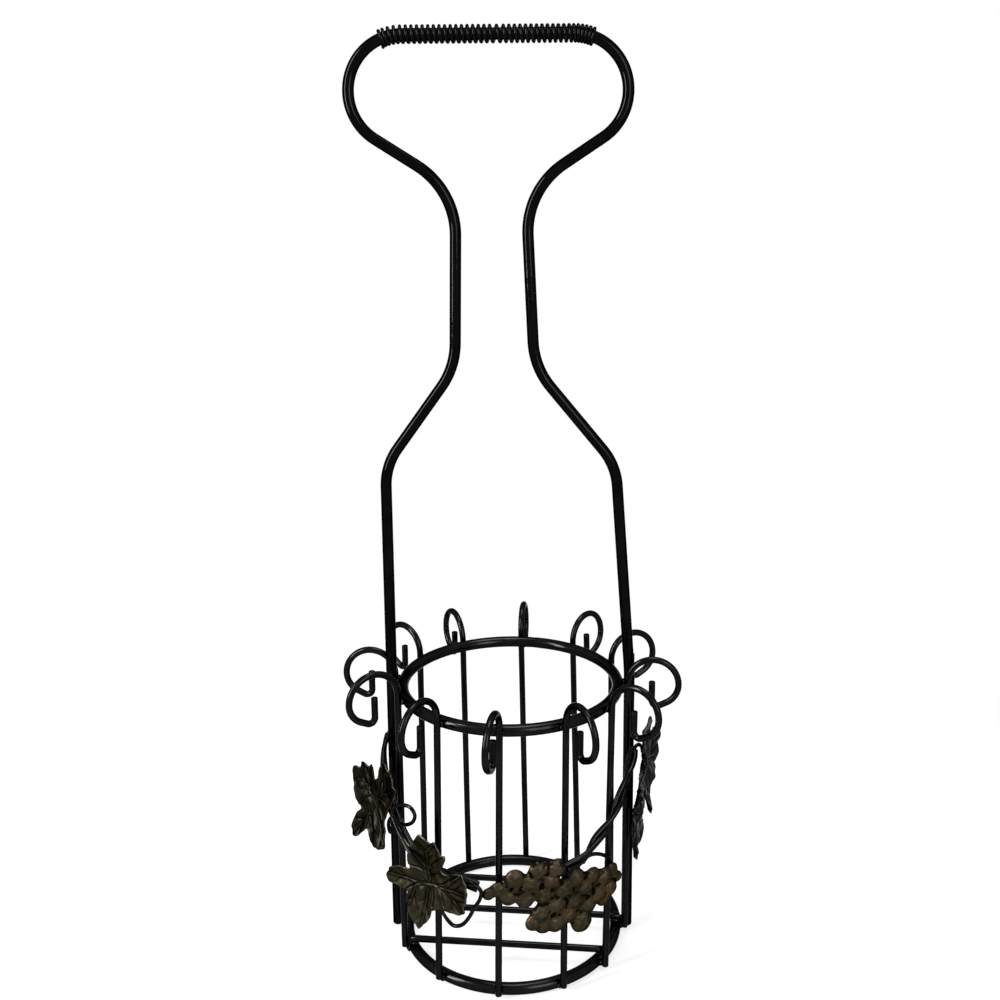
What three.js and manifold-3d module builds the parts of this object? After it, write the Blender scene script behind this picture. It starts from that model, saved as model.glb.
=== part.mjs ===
// Wire bottle carrier: a welded cage of round wire that holds one bottle upright, under a rod
// handle bent to the outline of a bottle. The cage's wires end in scroll hooks, the grip is
// wound with thin wire, and a vine with stamped leaves and grapes hangs across the front.
// Millimetres, +Z up. The origin is on the ground, on the axis of the cage; -Y is the front.

import * as THREE from 'three';
import { mergeVertices } from 'three/addons/utils/BufferGeometryUtils.js';
import Module from 'manifold-3d';

const wasm = await Module();
wasm.setup();

// Cage
const ringWire = 5.5;             // wire diameter of the two rings
const ringRadius = 52;            // cage axis to the middle of the ring wire
const ringSpacing = 127;          // bottom ring to top ring, middle to middle
const uprightWire = 3.2;
const uprightCount = 12;
const uprightFootLift = 1.2;      // ground to the cut foot of an upright
const weldGap = 0.3;              // between two wires that are welded side by side
const floorWire = 3.2;
const floorWirePitch = 26.5;      // between the three wires that carry the bottle
const floorWireInset = 0.6;       // the floor wires stop this far inside the ring's outer edge

// Scroll hooks, one at the top of each upright
const scrollLift = 0.9;           // top ring's middle to the middle of the scroll's upper bend
const scrollRadius = 12.2;        // bend of the upper half, to the middle of the wire
const scrollDrop = 11;            // from there down to the lowest place of the scroll
const scrollSlope = 26;           // degrees by which its lower run falls towards the tail
const scrollLowerBend = 10.2;
const scrollTailReach = 11.8;     // upright to the tail that stands inside the scroll
const scrollTailBend = 2.6;
const scrollTailTop = 1.2;        // tail's cut end above the middle of the upper bend

// The uprights were bent and welded by hand. Each has its own place: degrees on from an even
// spacing, degrees that its top leans in that direction, how far up it was welded, and degrees
// by which it was turned about itself, so that its scroll points aside.
const uprightPlaces = [
  [0, 0, 0.5, 0], [0.6, 0.5, 0, 0], [-1.2, 1.6, 0.4, -4], [-0.8, 0.9, 1, 0],
  [1.7, 0.6, 0, -1], [0.9, 0.1, 0.8, -8], [0, 0, 1.1, 0], [-1, -0.4, 3, 8],
  [0.1, 0.8, 2.3, 1], [0.5, 0.7, 1.3, -8], [1.3, 0.5, 1.6, 3], [-0.7, 1.8, 0.4, 0],
];

// Handle frame, bent from one rod: half widths from its middle line, and rises from bend to bend
const handleRod = 5.3;
const handleFootLift = 0.6;
const legBend = 120;              // gentle bend where the legs leave the top ring
const shoulderRise = 107.75;      // top ring to shoulder
const shoulderHalfWidth = 54.1;
const shoulderBend = 31;
const slopeRise = 46.5;           // shoulder to the foot of the neck
const neckFootHalfWidth = 18.3;
const neckFootBend = 36;
const neckRise = 80.5;
const neckTopHalfWidth = 15.8;
const neckTopBend = 36;
const crownRise = 67.3;           // top of the neck to the middle of the grip's rod
const crownHalfWidth = 62.2;
const crownBend = 24.3;
const shoulderShift = 3.8;        // the hand-bent frame leans to the left by this much here
const neckFootShift = 6.1;
const neckTopShift = 7.1;
const crownShift = 9.4;

// Grip winding
const windingWire = 1.5;
const windingTurns = 41;
const windingLength = 97;         // along the rod
const windingClearance = 0.2;     // thin wire to the flats of the rod

// Vine: two strands twisted together on each side, laid against the uprights. Its drawings
// below are in hundredths of the ring's radius, from the strands' lowest place.
const strandWire = 2.5;
const strandGap = 0.4;
const tendrilWire = 1.8;
const vineHang = 58.7;              // the strands' lowest place, below the hooks

// Stamped leaves and grapes
const sheet = 1;                  // thickness of the stamped metal
const leafRelief = 1.6;           // height of the lobes over the hollows between them
const leafVein = 0.5;             // a vein stands this high over the leaf
const leafCup = 1.4;              // how far the leaf's edge curls outwards
const grapeFlatness = 0.75;       // height of a stamped grape over its radius
const webReach = 2;               // the sheet between grapes closes gaps up to twice this wide
const bunchBend = 1.5;            // radius that the bunch is bent to, over the radius of its seat

// Finishes
const BLACK = { color: 0x0d0d0e, roughness: 0.3, metalness: 0.35 };
const PATINA = { color: 0x2b2620, roughness: 0.5, metalness: 0.55 };

// Worked out from the dimensions above
const degrees = THREE.MathUtils.degToRad;
const ringHeight = ringWire / 2;
const topRingHeight = ringHeight + ringSpacing;
const scrollHeight = topRingHeight + scrollLift;
const uprightRadius = ringRadius + ringWire / 2 + weldGap + uprightWire / 2;
const legRadius = ringRadius + ringWire / 2 + weldGap + handleRod / 2;
const uprightStep = 360 / uprightCount;
const cageOutside = uprightRadius + uprightWire / 2;
const stemDepth = strandWire + strandGap / 2;
const stemRadius = cageOutside + weldGap + stemDepth;
const leafSeat = stemRadius + stemDepth + weldGap + sheet / 2 + leafRelief / 2;
const shoulderHeight = topRingHeight + shoulderRise;
const neckFootHeight = shoulderHeight + slopeRise;
const neckTopHeight = neckFootHeight + neckRise;
const gripHeight = neckTopHeight + crownRise;
const vineUnit = ringRadius / 100;
const vineHeight = scrollHeight - scrollDrop - uprightWire / 2 - vineHang;
const bunchSeat = cageOutside + weldGap;

const part = new THREE.Group();

function add(name, geometry, finish, place = {}) {
  const mesh = new THREE.Mesh(geometry, new THREE.MeshStandardMaterial(finish));
  mesh.name = name;
  mesh.position.copy(place.position ?? new THREE.Vector3());
  mesh.rotation.order = 'ZYX';
  mesh.rotation.set(place.tip ?? 0, place.roll ?? 0, place.turn ?? 0);
  part.add(mesh);
  return mesh;
}

// The point at an angle in degrees, a height and a distance from the cage's axis.
function around(angle, height, radius) {
  const a = degrees(angle);
  return new THREE.Vector3(radius * Math.cos(a), radius * Math.sin(a), height);
}

// Round wire, drawn as a polygon whose flats are the wire's diameter apart.
function wireSection(diameter, sides = 8) {
  const corner = diameter / 2 / Math.cos(Math.PI / sides);
  const points = Array.from({ length: sides }, (_, i) => {
    const angle = ((i + 0.5) * 2 * Math.PI) / sides;
    return new THREE.Vector2(corner * Math.cos(angle), corner * Math.sin(angle));
  });
  return new THREE.Shape(points);
}

// A wire bent in the X-Z plane. Each corner is [x, z, bend radius]; the straights between the
// bends get no stations of their own, and a bend gets one every few degrees.
class BentWire extends THREE.Curve {
  constructor(corners, degreesPerStation = 20) {
    super();
    const at = corners.map(([x, z]) => new THREE.Vector2(x, z));
    const first = at[1].clone().sub(at[0]).normalize();
    this.stations = [[at[0], first]];
    for (let i = 1; i < at.length - 1; i += 1) {
      const before = at[i].clone().sub(at[i - 1]).normalize();
      const after = at[i + 1].clone().sub(at[i]).normalize();
      const turn = Math.atan2(before.cross(after), before.dot(after));
      const radius = corners[i][2];
      const setback = radius * Math.tan(Math.abs(turn) / 2);
      const start = at[i].clone().addScaledVector(before, -setback);
      const side = new THREE.Vector2(-before.y, before.x).multiplyScalar(Math.sign(turn));
      const centre = start.clone().addScaledVector(side, radius);
      const steps = Math.max(2, Math.round(THREE.MathUtils.radToDeg(Math.abs(turn)) / degreesPerStation));
      for (let k = 0; k <= steps; k += 1) {
        const bent = (turn * k) / steps;
        const point = start.clone().rotateAround(centre, bent);
        this.stations.push([point, before.clone().rotateAround(new THREE.Vector2(), bent)]);
      }
    }
    const last = at[at.length - 1];
    this.stations.push([last, last.clone().sub(at[at.length - 2]).normalize()]);
  }

  get steps() {
    return this.stations.length - 1;
  }

  getPoint(t) {
    const [point] = this.stations[Math.round(t * this.steps)];
    return new THREE.Vector3(point.x, 0, point.y);
  }

  getPointAt(t) {
    return this.getPoint(t);
  }

  getTangentAt(t) {
    const [, way] = this.stations[Math.round(t * this.steps)];
    return new THREE.Vector3(way.x, 0, way.y);
  }
}

function bentWireGeometry(corners, diameter, degreesPerStation) {
  const path = new BentWire(corners, degreesPerStation);
  return new THREE.ExtrudeGeometry(wireSection(diameter), { steps: path.steps, extrudePath: path });
}

// A wire of the vine round the cage, at a usual distance from the axis. Its points are [angle,
// height, distance beyond the usual one in strand wires].
class VineCurve extends THREE.Curve {
  constructor(points, radius) {
    super();
    const places = points.map(([angle, height, out]) => {
      return new THREE.Vector3(angle, vineHeight + height * vineUnit, radius + out * strandWire);
    });
    this.chart = new THREE.CatmullRomCurve3(places);
  }

  getPoint(t) {
    const p = this.chart.getPoint(t);
    return around(p.x, p.y, p.z);
  }
}

// One of two strands that twist round a common middle line.
class Strand extends THREE.Curve {
  constructor(middleLine, offset, turns, startAngle) {
    super();
    Object.assign(this, { middleLine, offset, turns, startAngle });
  }

  getPoint(t) {
    const middle = this.middleLine.getPointAt(t);
    const along = this.middleLine.getTangentAt(t);
    const outward = new THREE.Vector3(middle.x, middle.y, 0).normalize();
    const across = new THREE.Vector3().crossVectors(along, outward).normalize();
    const angle = degrees(this.startAngle + 360 * this.turns * t);
    middle.addScaledVector(outward, this.offset * Math.cos(angle));
    return middle.addScaledVector(across, this.offset * Math.sin(angle));
  }
}

// A bent ring of wire, lying flat.
function ringGeometry(radius, diameter) {
  const section = wireSection(diameter).getPoints();
  const profile = [...section, section[0]].map((p) => new THREE.Vector2(radius + p.x, p.y));
  return new THREE.LatheGeometry(profile, 4 * uprightCount).rotateX(Math.PI / 2);
}

function addRings() {
  const halfFacet = Math.PI / (4 * uprightCount);
  for (const [name, height] of [['bottom_ring', ringHeight], ['top_ring', topRingHeight]]) {
    add(name, ringGeometry(ringRadius, ringWire), BLACK, {
      position: new THREE.Vector3(0, 0, height),
      turn: halfFacet,
    });
  }
}

// The leg of the handle stands on the +X side and its upright is welded beside it. This is the
// angle between the two, seen from the cage's axis.
function angleBesideLeg() {
  const apart = (uprightWire + handleRod) / 2 + weldGap;
  const cosine = (uprightRadius ** 2 + legRadius ** 2 - apart ** 2) / (2 * uprightRadius * legRadius);
  return THREE.MathUtils.radToDeg(Math.acos(cosine));
}

// An upright runs up the outside of both rings, rolls over outwards into a scroll and ends in
// a short straight tail inside it. Its lean turns it about its middle, between the two rings.
function addUprights() {
  const over = scrollHeight + scrollRadius;
  const belowBend = scrollTailBend * (Math.tan(degrees(90 + scrollSlope) / 2) - 1);
  const under = scrollHeight - scrollDrop - belowBend;
  const rise = (2 * scrollRadius - scrollTailReach) * Math.tan(degrees(scrollSlope));
  const corners = [
    [0, uprightFootLift],
    [0, over, scrollRadius],
    [2 * scrollRadius, over, scrollRadius],
    [2 * scrollRadius, under + rise, scrollLowerBend],
    [scrollTailReach, under, scrollTailBend],
    [scrollTailReach, scrollHeight + scrollTailTop],
  ];
  const middle = (ringHeight + topRingHeight) / 2;
  uprightPlaces.forEach(([turned, leans, raised, swung], i) => {
    const angle = i * uprightStep - angleBesideLeg() + turned;
    const geometry = bentWireGeometry(corners, uprightWire, 26).translate(0, 0, -middle);
    add(`hook_upright_${String(i + 1).padStart(2, '0')}`, geometry, BLACK, {
      position: around(angle, middle + raised, uprightRadius),
      tip: degrees(-leans),
      turn: degrees(angle + swung),
    });
  });
}

// Three straight wires lie across the bottom ring, in line with the upright beside the leg.
function addFloorWires() {
  const height = ringHeight + ringWire / 2 + weldGap + floorWire / 2;
  const reach = ringRadius + ringWire / 2 - floorWireInset;
  const turn = degrees(-angleBesideLeg());
  for (const [name, row] of [['floor_wire_front', -1], ['floor_wire_middle', 0], ['floor_wire_back', 1]]) {
    const offset = row * floorWirePitch;
    const farEdge = Math.abs(offset) + floorWire / 2;
    const half = Math.min(Math.sqrt(reach ** 2 - farEdge ** 2), uprightRadius - uprightWire / 2 - weldGap);
    const geometry = bentWireGeometry([[-half, 0], [half, 0]], floorWire);
    const position = new THREE.Vector3(-Math.sin(turn) * offset, Math.cos(turn) * offset, height);
    add(name, geometry, BLACK, { position, turn });
  }
}

// The slope that leads from the neck out to the crown just touches the crown's round bend. It
// is carried on to the height of the grip, where its corner would be without the bend.
function crownCorner() {
  const neckTop = new THREE.Vector2(neckTopHalfWidth, neckTopHeight);
  const bendMiddle = new THREE.Vector2(crownHalfWidth - crownBend, gripHeight - crownBend);
  const way = bendMiddle.clone().sub(neckTop);
  const slope = way.angle() - Math.asin(crownBend / way.length());
  return neckTop.x + (gripHeight - neckTopHeight) / Math.tan(slope);
}

// One bent rod, symmetrical but for its lean: [half width, height, bend radius, shift to the left].
function addHandle() {
  const bends = [
    [legRadius, handleFootLift, 0, 0],
    [legRadius, topRingHeight + ringWire, legBend, 0],
    [shoulderHalfWidth, shoulderHeight, shoulderBend, shoulderShift],
    [neckFootHalfWidth, neckFootHeight, neckFootBend, neckFootShift],
    [neckTopHalfWidth, neckTopHeight, neckTopBend, neckTopShift],
    [crownCorner(), gripHeight, crownBend, crownShift],
  ];
  const rightSide = bends.map(([half, z, bend, shift]) => [half - shift, z, bend]);
  const leftSide = bends.map(([half, z, bend, shift]) => [-half - shift, z, bend]).reverse();
  add('handle_frame', bentWireGeometry([...rightSide, ...leftSide], handleRod, 9), BLACK);
}

// Half of the straight between the crown's bends on one side (-1 left, 1 right). The lean makes
// the two slopes unlike, so each bend begins at a place of its own.
function gripStraight(side) {
  const rise = gripHeight - neckTopHeight;
  const run = crownCorner() - neckTopHalfWidth - side * (crownShift - neckTopShift);
  const turn = Math.PI - Math.atan2(rise, run);
  return crownCorner() - crownBend * Math.tan(turn / 2);
}

// The rod's middle line under the winding, by the distance from the grip's middle.
function gripLine(distance) {
  const side = Math.sign(distance) || 1;
  const straight = gripStraight(side);
  const bent = Math.max(0, Math.abs(distance) - straight) / crownBend;
  const out = Math.min(Math.abs(distance), straight) + crownBend * Math.sin(bent);
  const down = crownBend * (1 - Math.cos(bent));
  return {
    point: new THREE.Vector3(side * out - crownShift, 0, gripHeight - down),
    up: new THREE.Vector3(side * Math.sin(bent), 0, Math.cos(bent)),
  };
}

// The winding is one thin wire in even turns. Its two cut ends run straight on under the grip.
function addWinding() {
  const stepsPerTurn = 8;
  const sides = 5;
  const steps = windingTurns * stepsPerTurn;
  const radius = (handleRod / 2 + windingClearance + windingWire / 2) / Math.cos(Math.PI / stepsPerTurn);
  const points = Array.from({ length: steps + 1 }, (_, k) => {
    const { point, up } = gripLine(windingLength * (k / steps - 0.5));
    const angle = (2 * Math.PI * (k - 1.5)) / stepsPerTurn;
    point.addScaledVector(up, radius * Math.sin(angle));
    return point.add(new THREE.Vector3(0, radius * Math.cos(angle), 0));
  });
  const startWay = points[0].clone().sub(points[1]).normalize();
  const endWay = points[steps].clone().sub(points[steps - 1]).normalize();
  points.unshift(points[0].clone().addScaledVector(startWay, windingWire));
  points.push(points[steps + 1].clone().addScaledVector(endWay, windingWire));
  const geometry = coilGeometry(points, windingWire / 2, sides);
  add('grip_winding', geometry, BLACK);
  const least = leastGap(geometry.getAttribute('position'), sides, stepsPerTurn);
  console.log(`grip winding: ${windingTurns} turns, least gap to itself ${least.toFixed(2)} mm`);
}

// A closed tube of equal rings, one at each point of a coil.
function coilGeometry(points, radius, sides) {
  const vertices = [];
  const faces = [];
  let across = new THREE.Vector3(1, 0, 0);
  points.forEach((point, i) => {
    const before = points[Math.max(0, i - 1)];
    const after = points[Math.min(points.length - 1, i + 1)];
    const along = after.clone().sub(before).normalize();
    across = across.clone().addScaledVector(along, -across.dot(along)).normalize();
    const other = new THREE.Vector3().crossVectors(along, across);
    for (let k = 0; k < sides; k += 1) {
      const angle = (2 * Math.PI * k) / sides;
      const spot = point.clone().addScaledVector(across, radius * Math.cos(angle));
      vertices.push(...spot.addScaledVector(other, radius * Math.sin(angle)).toArray());
      if (i < points.length - 1) {
        const [a, b] = [i * sides + k, i * sides + ((k + 1) % sides)];
        faces.push(a, b, b + sides, a, b + sides, a + sides);
      }
    }
  });
  const last = (points.length - 1) * sides;
  for (let k = 1; k < sides - 1; k += 1) {
    faces.push(0, k + 1, k, last, last + k, last + k + 1);
  }
  return meshOf(vertices, faces);
}

function leastGap(position, sides, stepsPerTurn) {
  const spots = Array.from({ length: position.count }, (_, i) => {
    return new THREE.Vector3().fromBufferAttribute(position, i);
  });
  let least = Infinity;
  for (let i = 0; i < spots.length; i += 1) {
    for (let k = i + (sides * stepsPerTurn) / 2; k < spots.length; k += 1) {
      least = Math.min(least, spots[i].distanceTo(spots[k]));
    }
  }
  return least;
}

function meshOf(vertices, faces) {
  const geometry = new THREE.BufferGeometry();
  geometry.setAttribute('position', new THREE.Float32BufferAttribute(vertices, 3));
  geometry.setIndex(faces);
  return geometry;
}

// The vine hangs as a swag from the two legs to the leaves and the grapes.
function addStems() {
  const lines = {
    stem_left: {
      turns: 1,
      startAngle: 49,
      points: [[171, 75.3, 0.36], [176, 71.4, 0.44], [181, 66.6, 0.44], [190, 56.1, 0.24],
        [199, 44.5, 0], [208, 33.6, 0], [216, 24.7, 0], [225, 15.3, 0], [236, 8.2, 0], [248, 4.1, 0],
        [257.7, -0.5, 0]],
    },
    stem_right: {
      turns: 1.6,
      startAngle: 24,
      points: [[293.8, 16.6, 1.3], [302.8, 19.8, 0.7], [310.5, 29, 0.1], [319.6, 38.1, -0.05],
        [326.5, 52, -0.05], [336.6, 70, -0.1], [346, 83, -0.1]],
    },
  };
  const offset = (strandWire + strandGap) / 2;
  for (const [name, { turns, startAngle, points }] of Object.entries(lines)) {
    const middleLine = new VineCurve(points, stemRadius);
    for (const [letter, across] of [['a', 0], ['b', 180]]) {
      const strand = new Strand(middleLine, offset, turns, startAngle + across);
      const section = wireSection(strandWire);
      add(`${name}_${letter}`, new THREE.ExtrudeGeometry(section, { steps: 20, extrudePath: strand }), BLACK);
    }
  }
}

// The thin tendrils: one knots the left leaf to the front leaf in a loop and lies over the
// front leaf as its stalk, the others curl freely. Their usual distance clears the stems.
function addTendrils() {
  const over = stemRadius + stemDepth + weldGap + tendrilWire / 2;
  const wires = {
    tendril_loop: {
      steps: 27,
      points: [[214, 40.5, -0.08], [217, 39.7, 0], [220.4, 38.7, 0], [225, 41.6, 0], [229, 48.2, 0],
        [230, 55.5, 0], [227.5, 60.5, 0.08], [223, 59.3, 0.48], [219, 53.6, 0.88], [218, 47.4, 1.04],
        [220.5, 40.7, 1.12], [224, 33.9, 1.28], [229, 27, 1.7], [234, 20.7, 1.8], [238, 13.7, 1.65]],
    },
    tendril_curl: {
      steps: 12,
      points: [[213.6, 37.8, 0], [211.2, 32.4, 0], [210, 25.7, 0], [211.4, 21.2, 0], [213.6, 23.6, 0],
        [214.4, 30.5, 0]],
    },
    tendril_front: {
      steps: 22,
      points: [[252, 7.4, 0], [256.4, 6.8, 0], [259.5, 1.2, -0.1], [259.2, -7, -0.25],
        [256.8, -16.4, -0.25], [254.5, -26.4, -0.32], [251.2, -35.3, -0.4], [247.5, -38, -0.48],
        [244.2, -33.4, -0.56], [241.6, -26.4, -0.6]],
    },
    tendril_right: {
      steps: 16,
      points: [[303.5, 11.5, -1.7], [306.5, 14.6, -2], [310.5, 13.9, -2.1], [317, 7, -2.24],
        [322, -2.6, -2.26], [325.5, -15.1, -2.26], [327.5, -25.7, -2.26]],
    },
  };
  for (const [name, { steps, points }] of Object.entries(wires)) {
    const extrudePath = new VineCurve(points, over);
    add(name, new THREE.ExtrudeGeometry(wireSection(tendrilWire, 6), { steps, extrudePath }), BLACK);
  }
}

// A vine leaf from its middle, as [direction in degrees, reach]: the main lobe with its three
// points, two broad lobes on the right and below, a narrow one on the left.
const leafOutline = [[110, 41.3], [128, 34.4], [144, 29], [158, 23.5], [166, 33], [176, 43],
  [-174, 48.4], [-167, 47], [-160, 36.8], [-151, 29], [-140, 36], [-125, 42.2], [-112, 45.3],
  [-106, 47], [-100, 40.7], [-93, 33.5], [-88, 26], [-79, 22.7], [-55, 23], [-37, 28.2],
  [-24, 36.6], [-16, 40.5], [-5, 40.4], [10, 43.6], [23, 46.7], [31, 46], [37, 38.8], [42, 26.3],
  [53, 25], [57, 33.5], [60, 39.3], [66, 38.6], [71, 41.5], [79, 45.6], [85, 42.8], [89, 44.5],
  [96, 48.4]];
const leafVeins = [97, 62, 27, -12, -103, -136, -176];

// A stamped leaf in its own plane, facing +Z: a closed sheet that is raised along the lobes,
// sunk between them, ridged along the veins and cupped towards its edge.
function leafGeometry(size) {
  const spokes = 2 * leafOutline.length;
  const rings = 3;
  const corners = leafOutline.map(([direction, reach]) => {
    const corner = new THREE.Vector3(size * reach * vineUnit, 0, 0);
    return corner.applyAxisAngle(new THREE.Vector3(0, 0, 1), degrees(direction));
  });
  const edge = new THREE.CatmullRomCurve3(corners, true, 'centripetal').getPoints(spokes).slice(0, spokes);
  const reaches = edge.map((point) => point.length());
  const [shortest, longest] = [Math.min(...reaches), Math.max(...reaches)];
  const veinSpokes = leafVeins.map((direction) => {
    const way = new THREE.Vector3(Math.cos(degrees(direction)), Math.sin(degrees(direction)), 0);
    const nearness = edge.map((point) => point.dot(way) / point.length());
    return nearness.indexOf(Math.max(...nearness));
  });
  const vertices = [];
  const faces = [];
  for (const face of [1, -1]) {
    vertices.push(0, 0, (face * sheet) / 2);
    for (let r = 1; r <= rings; r += 1) {
      const share = r / rings;
      edge.forEach((point, s) => {
        const crest = (reaches[s] - shortest) / (longest - shortest) - 0.5;
        const ridge = veinSpokes.includes(s) && r < rings ? leafVein : 0;
        const height = leafRelief * crest * share + leafCup * share ** 2 + ridge;
        vertices.push(point.x * share, point.y * share, height + (face * sheet) / 2);
      });
    }
  }
  const perFace = 1 + rings * spokes;
  for (let s = 0; s < spokes; s += 1) {
    const next = (s + 1) % spokes;
    faces.push(0, 1 + s, 1 + next, perFace, perFace + 1 + next, perFace + 1 + s);
    for (let r = 0; r < rings - 1; r += 1) {
      const [a, b] = [1 + r * spokes + s, 1 + r * spokes + next];
      const [c, d] = [a + spokes, b + spokes];
      faces.push(a, c, d, a, d, b);
      faces.push(perFace + a, perFace + d, perFace + c, perFace + a, perFace + b, perFace + d);
    }
    const [a, b] = [1 + (rings - 1) * spokes + s, 1 + (rings - 1) * spokes + next];
    faces.push(a, perFace + a, perFace + b, a, perFace + b, b);
  }
  return meshOf(vertices, faces);
}

// Each leaf is given by the angle where it sits, its height, its distance beyond its seat in
// strand wires, the way it faces, how far it tips upwards and how far it is turned.
function addLeaves() {
  const besideLeg = legRadius + handleRod / 2 + weldGap + sheet / 2 + leafRelief / 2;
  const leaves = {
    leaf_left: {
      angle: 204.5, height: 42.6, seat: leafSeat, out: 1, faces: 224, tipped: 13, turned: 52, size: 0.86,
    },
    leaf_front: {
      angle: 238.6, height: -2.2, seat: leafSeat, out: 0, faces: 235, tipped: -2, turned: 0, size: 1,
    },
    leaf_right_upper: {
      angle: 348, height: 68, seat: besideLeg, out: 1.1, faces: 345, tipped: 5, turned: -6, size: 0.92,
    },
    leaf_right_lower: {
      angle: 353, height: 16, seat: besideLeg, out: -0.5, faces: 349, tipped: -5, turned: 160, size: 0.95,
    },
  };
  for (const [name, leaf] of Object.entries(leaves)) {
    const geometry = leafGeometry(leaf.size).rotateZ(degrees(leaf.turned));
    geometry.rotateX(Math.PI / 2).rotateZ(Math.PI / 2).rotateY(degrees(-leaf.tipped));
    const height = vineHeight + leaf.height * vineUnit;
    add(name, geometry, PATINA, {
      position: around(leaf.angle, height, leaf.seat + leaf.out * strandWire),
      turn: degrees(leaf.faces),
    });
  }
}

function solidOf(geometry) {
  geometry.deleteAttribute('normal');
  geometry.deleteAttribute('uv');
  const merged = mergeVertices(geometry);
  const mesh = new wasm.Mesh({
    numProp: 3,
    vertProperties: new Float32Array(merged.getAttribute('position').array),
    triVerts: new Uint32Array(merged.index.array),
  });
  return new wasm.Manifold(mesh);
}

function geometryOf(solid) {
  const mesh = solid.getMesh();
  return meshOf(Array.from(mesh.vertProperties), Array.from(mesh.triVerts));
}

// A flattened ball for a stamped grape, its short axis along Z.
function grapeBall(grape, inset) {
  const [x, y, radius] = grape.map((share) => share * vineUnit);
  const ball = new THREE.SphereGeometry(radius - inset, 9, 6).rotateX(Math.PI / 2);
  return solidOf(ball.scale(1, 1, grapeFlatness).translate(x, y, 0));
}

// The flat sheet between the grapes: their common outline, with the narrow gaps in it closed.
function webBetween(grapes) {
  const circles = grapes.map((grape) => {
    const [x, y, radius] = grape.map((share) => share * vineUnit);
    return wasm.CrossSection.circle(radius, 9).translate([x, y]);
  });
  const grown = wasm.CrossSection.union(circles).offset(webReach, 'Round', 2, 8);
  return grown.offset(-webReach, 'Round', 2, 8).extrude(2 * sheet, 0, 0, [1, 1], true);
}

// The bunch is stamped from sheet: domes on the front, hollow and open behind. It lies on its
// side, with the tip to the right. Grapes are [across, up, radius] from its middle.
function addGrapes() {
  const bunchAngle = 292.6;
  const bunchRise = -14.9;
  const grapes = [[-61.8, 9.3, 5.9], [-53, 13.9, 7.4], [-44.5, 6.1, 8.2], [-39.1, 23.5, 9], [-30.1, 2.2, 8.4],
    [-25.6, 17.2, 8.4], [-18.6, 28.2, 9.2], [-2, 27.2, 9.6], [-13.7, 4.1, 8.8], [-6.9, 15.8, 8.4],
    [-16.1, -12.6, 9], [-23.1, -21, 7.8], [-14.1, -24.9, 8], [-2.6, -25.4, 8.8], [-2.5, -7.8, 8.6],
    [4.6, 5.8, 8.2], [8.7, -19.8, 8.8], [21.9, -30.1, 11], [14.7, -8.3, 8.6], [16.5, 13.4, 8.8],
    [28.5, -16.9, 9], [25.9, 1.9, 8.4], [33.1, 9.8, 8.4], [40.3, -9.6, 9], [46.4, 3.9, 9.2],
    [52.9, -9.8, 8.8], [56.5, 6.4, 6.8], [63.4, -3.1, 5.5], [45.3, -18.2, 6.8]];
  const join = (inset) => grapes.map((grape) => grapeBall(grape, inset)).reduce((all, ball) => all.add(ball));
  const frontHalf = new THREE.BoxGeometry(200, 200, 50).translate(0, 0, 25);
  const bunch = join(0).add(webBetween(grapes)).subtract(join(sheet)).intersect(solidOf(frontHalf));
  const shell = bunch.simplify(sheet / 10);
  const geometry = geometryOf(shell);
  const position = geometry.getAttribute('position');
  const bend = bunchBend * bunchSeat;
  for (let i = 0; i < position.count; i += 1) {
    const bent = position.getX(i) / bend;
    const radius = bend + position.getZ(i);
    position.setX(i, radius * Math.sin(bent));
    position.setZ(i, radius * Math.cos(bent) - bend);
  }
  geometry.rotateX(Math.PI / 2).rotateZ(Math.PI / 2);
  add('grape_bunch', geometry, PATINA, {
    position: around(bunchAngle, vineHeight + bunchRise * vineUnit, bunchSeat),
    turn: degrees(bunchAngle),
  });
}

addRings();
addUprights();
addFloorWires();
addHandle();
addWinding();
addStems();
addTendrils();
addLeaves();
addGrapes();

export default part;
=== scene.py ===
# %% [markdown]
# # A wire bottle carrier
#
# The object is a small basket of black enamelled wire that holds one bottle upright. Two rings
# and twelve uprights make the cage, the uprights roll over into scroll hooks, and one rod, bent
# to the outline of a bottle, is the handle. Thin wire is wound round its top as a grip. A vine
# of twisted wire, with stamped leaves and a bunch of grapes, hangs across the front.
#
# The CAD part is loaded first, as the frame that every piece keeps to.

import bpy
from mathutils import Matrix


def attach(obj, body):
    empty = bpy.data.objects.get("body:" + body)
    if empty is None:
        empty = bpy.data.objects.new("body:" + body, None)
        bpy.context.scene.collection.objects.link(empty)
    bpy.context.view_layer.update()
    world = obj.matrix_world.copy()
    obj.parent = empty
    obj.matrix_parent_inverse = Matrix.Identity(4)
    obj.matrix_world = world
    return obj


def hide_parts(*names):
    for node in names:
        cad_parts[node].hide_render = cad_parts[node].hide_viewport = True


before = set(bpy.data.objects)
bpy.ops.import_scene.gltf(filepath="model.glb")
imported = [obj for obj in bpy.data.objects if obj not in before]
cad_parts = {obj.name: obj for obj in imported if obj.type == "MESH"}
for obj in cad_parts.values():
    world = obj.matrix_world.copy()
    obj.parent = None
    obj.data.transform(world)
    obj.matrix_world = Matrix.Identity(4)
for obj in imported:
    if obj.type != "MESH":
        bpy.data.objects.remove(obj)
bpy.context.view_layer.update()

# %% [markdown]
# ## The measures that carry over
#
# A round wire needs more sides than the CAD solid has. So each wire is drawn again, along the
# same line and with the same diameter, apart from the grip's winding, which is a little
# thicker. The lines come from the same driving dimensions as the CAD model. They are in
# millimetres, and only a finished mesh is in metres.

# %% Dimensions of the carrier
import math

import bmesh
import bpy
import numpy as np
from mathutils import Matrix, Vector, noise

MM = 0.001

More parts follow.
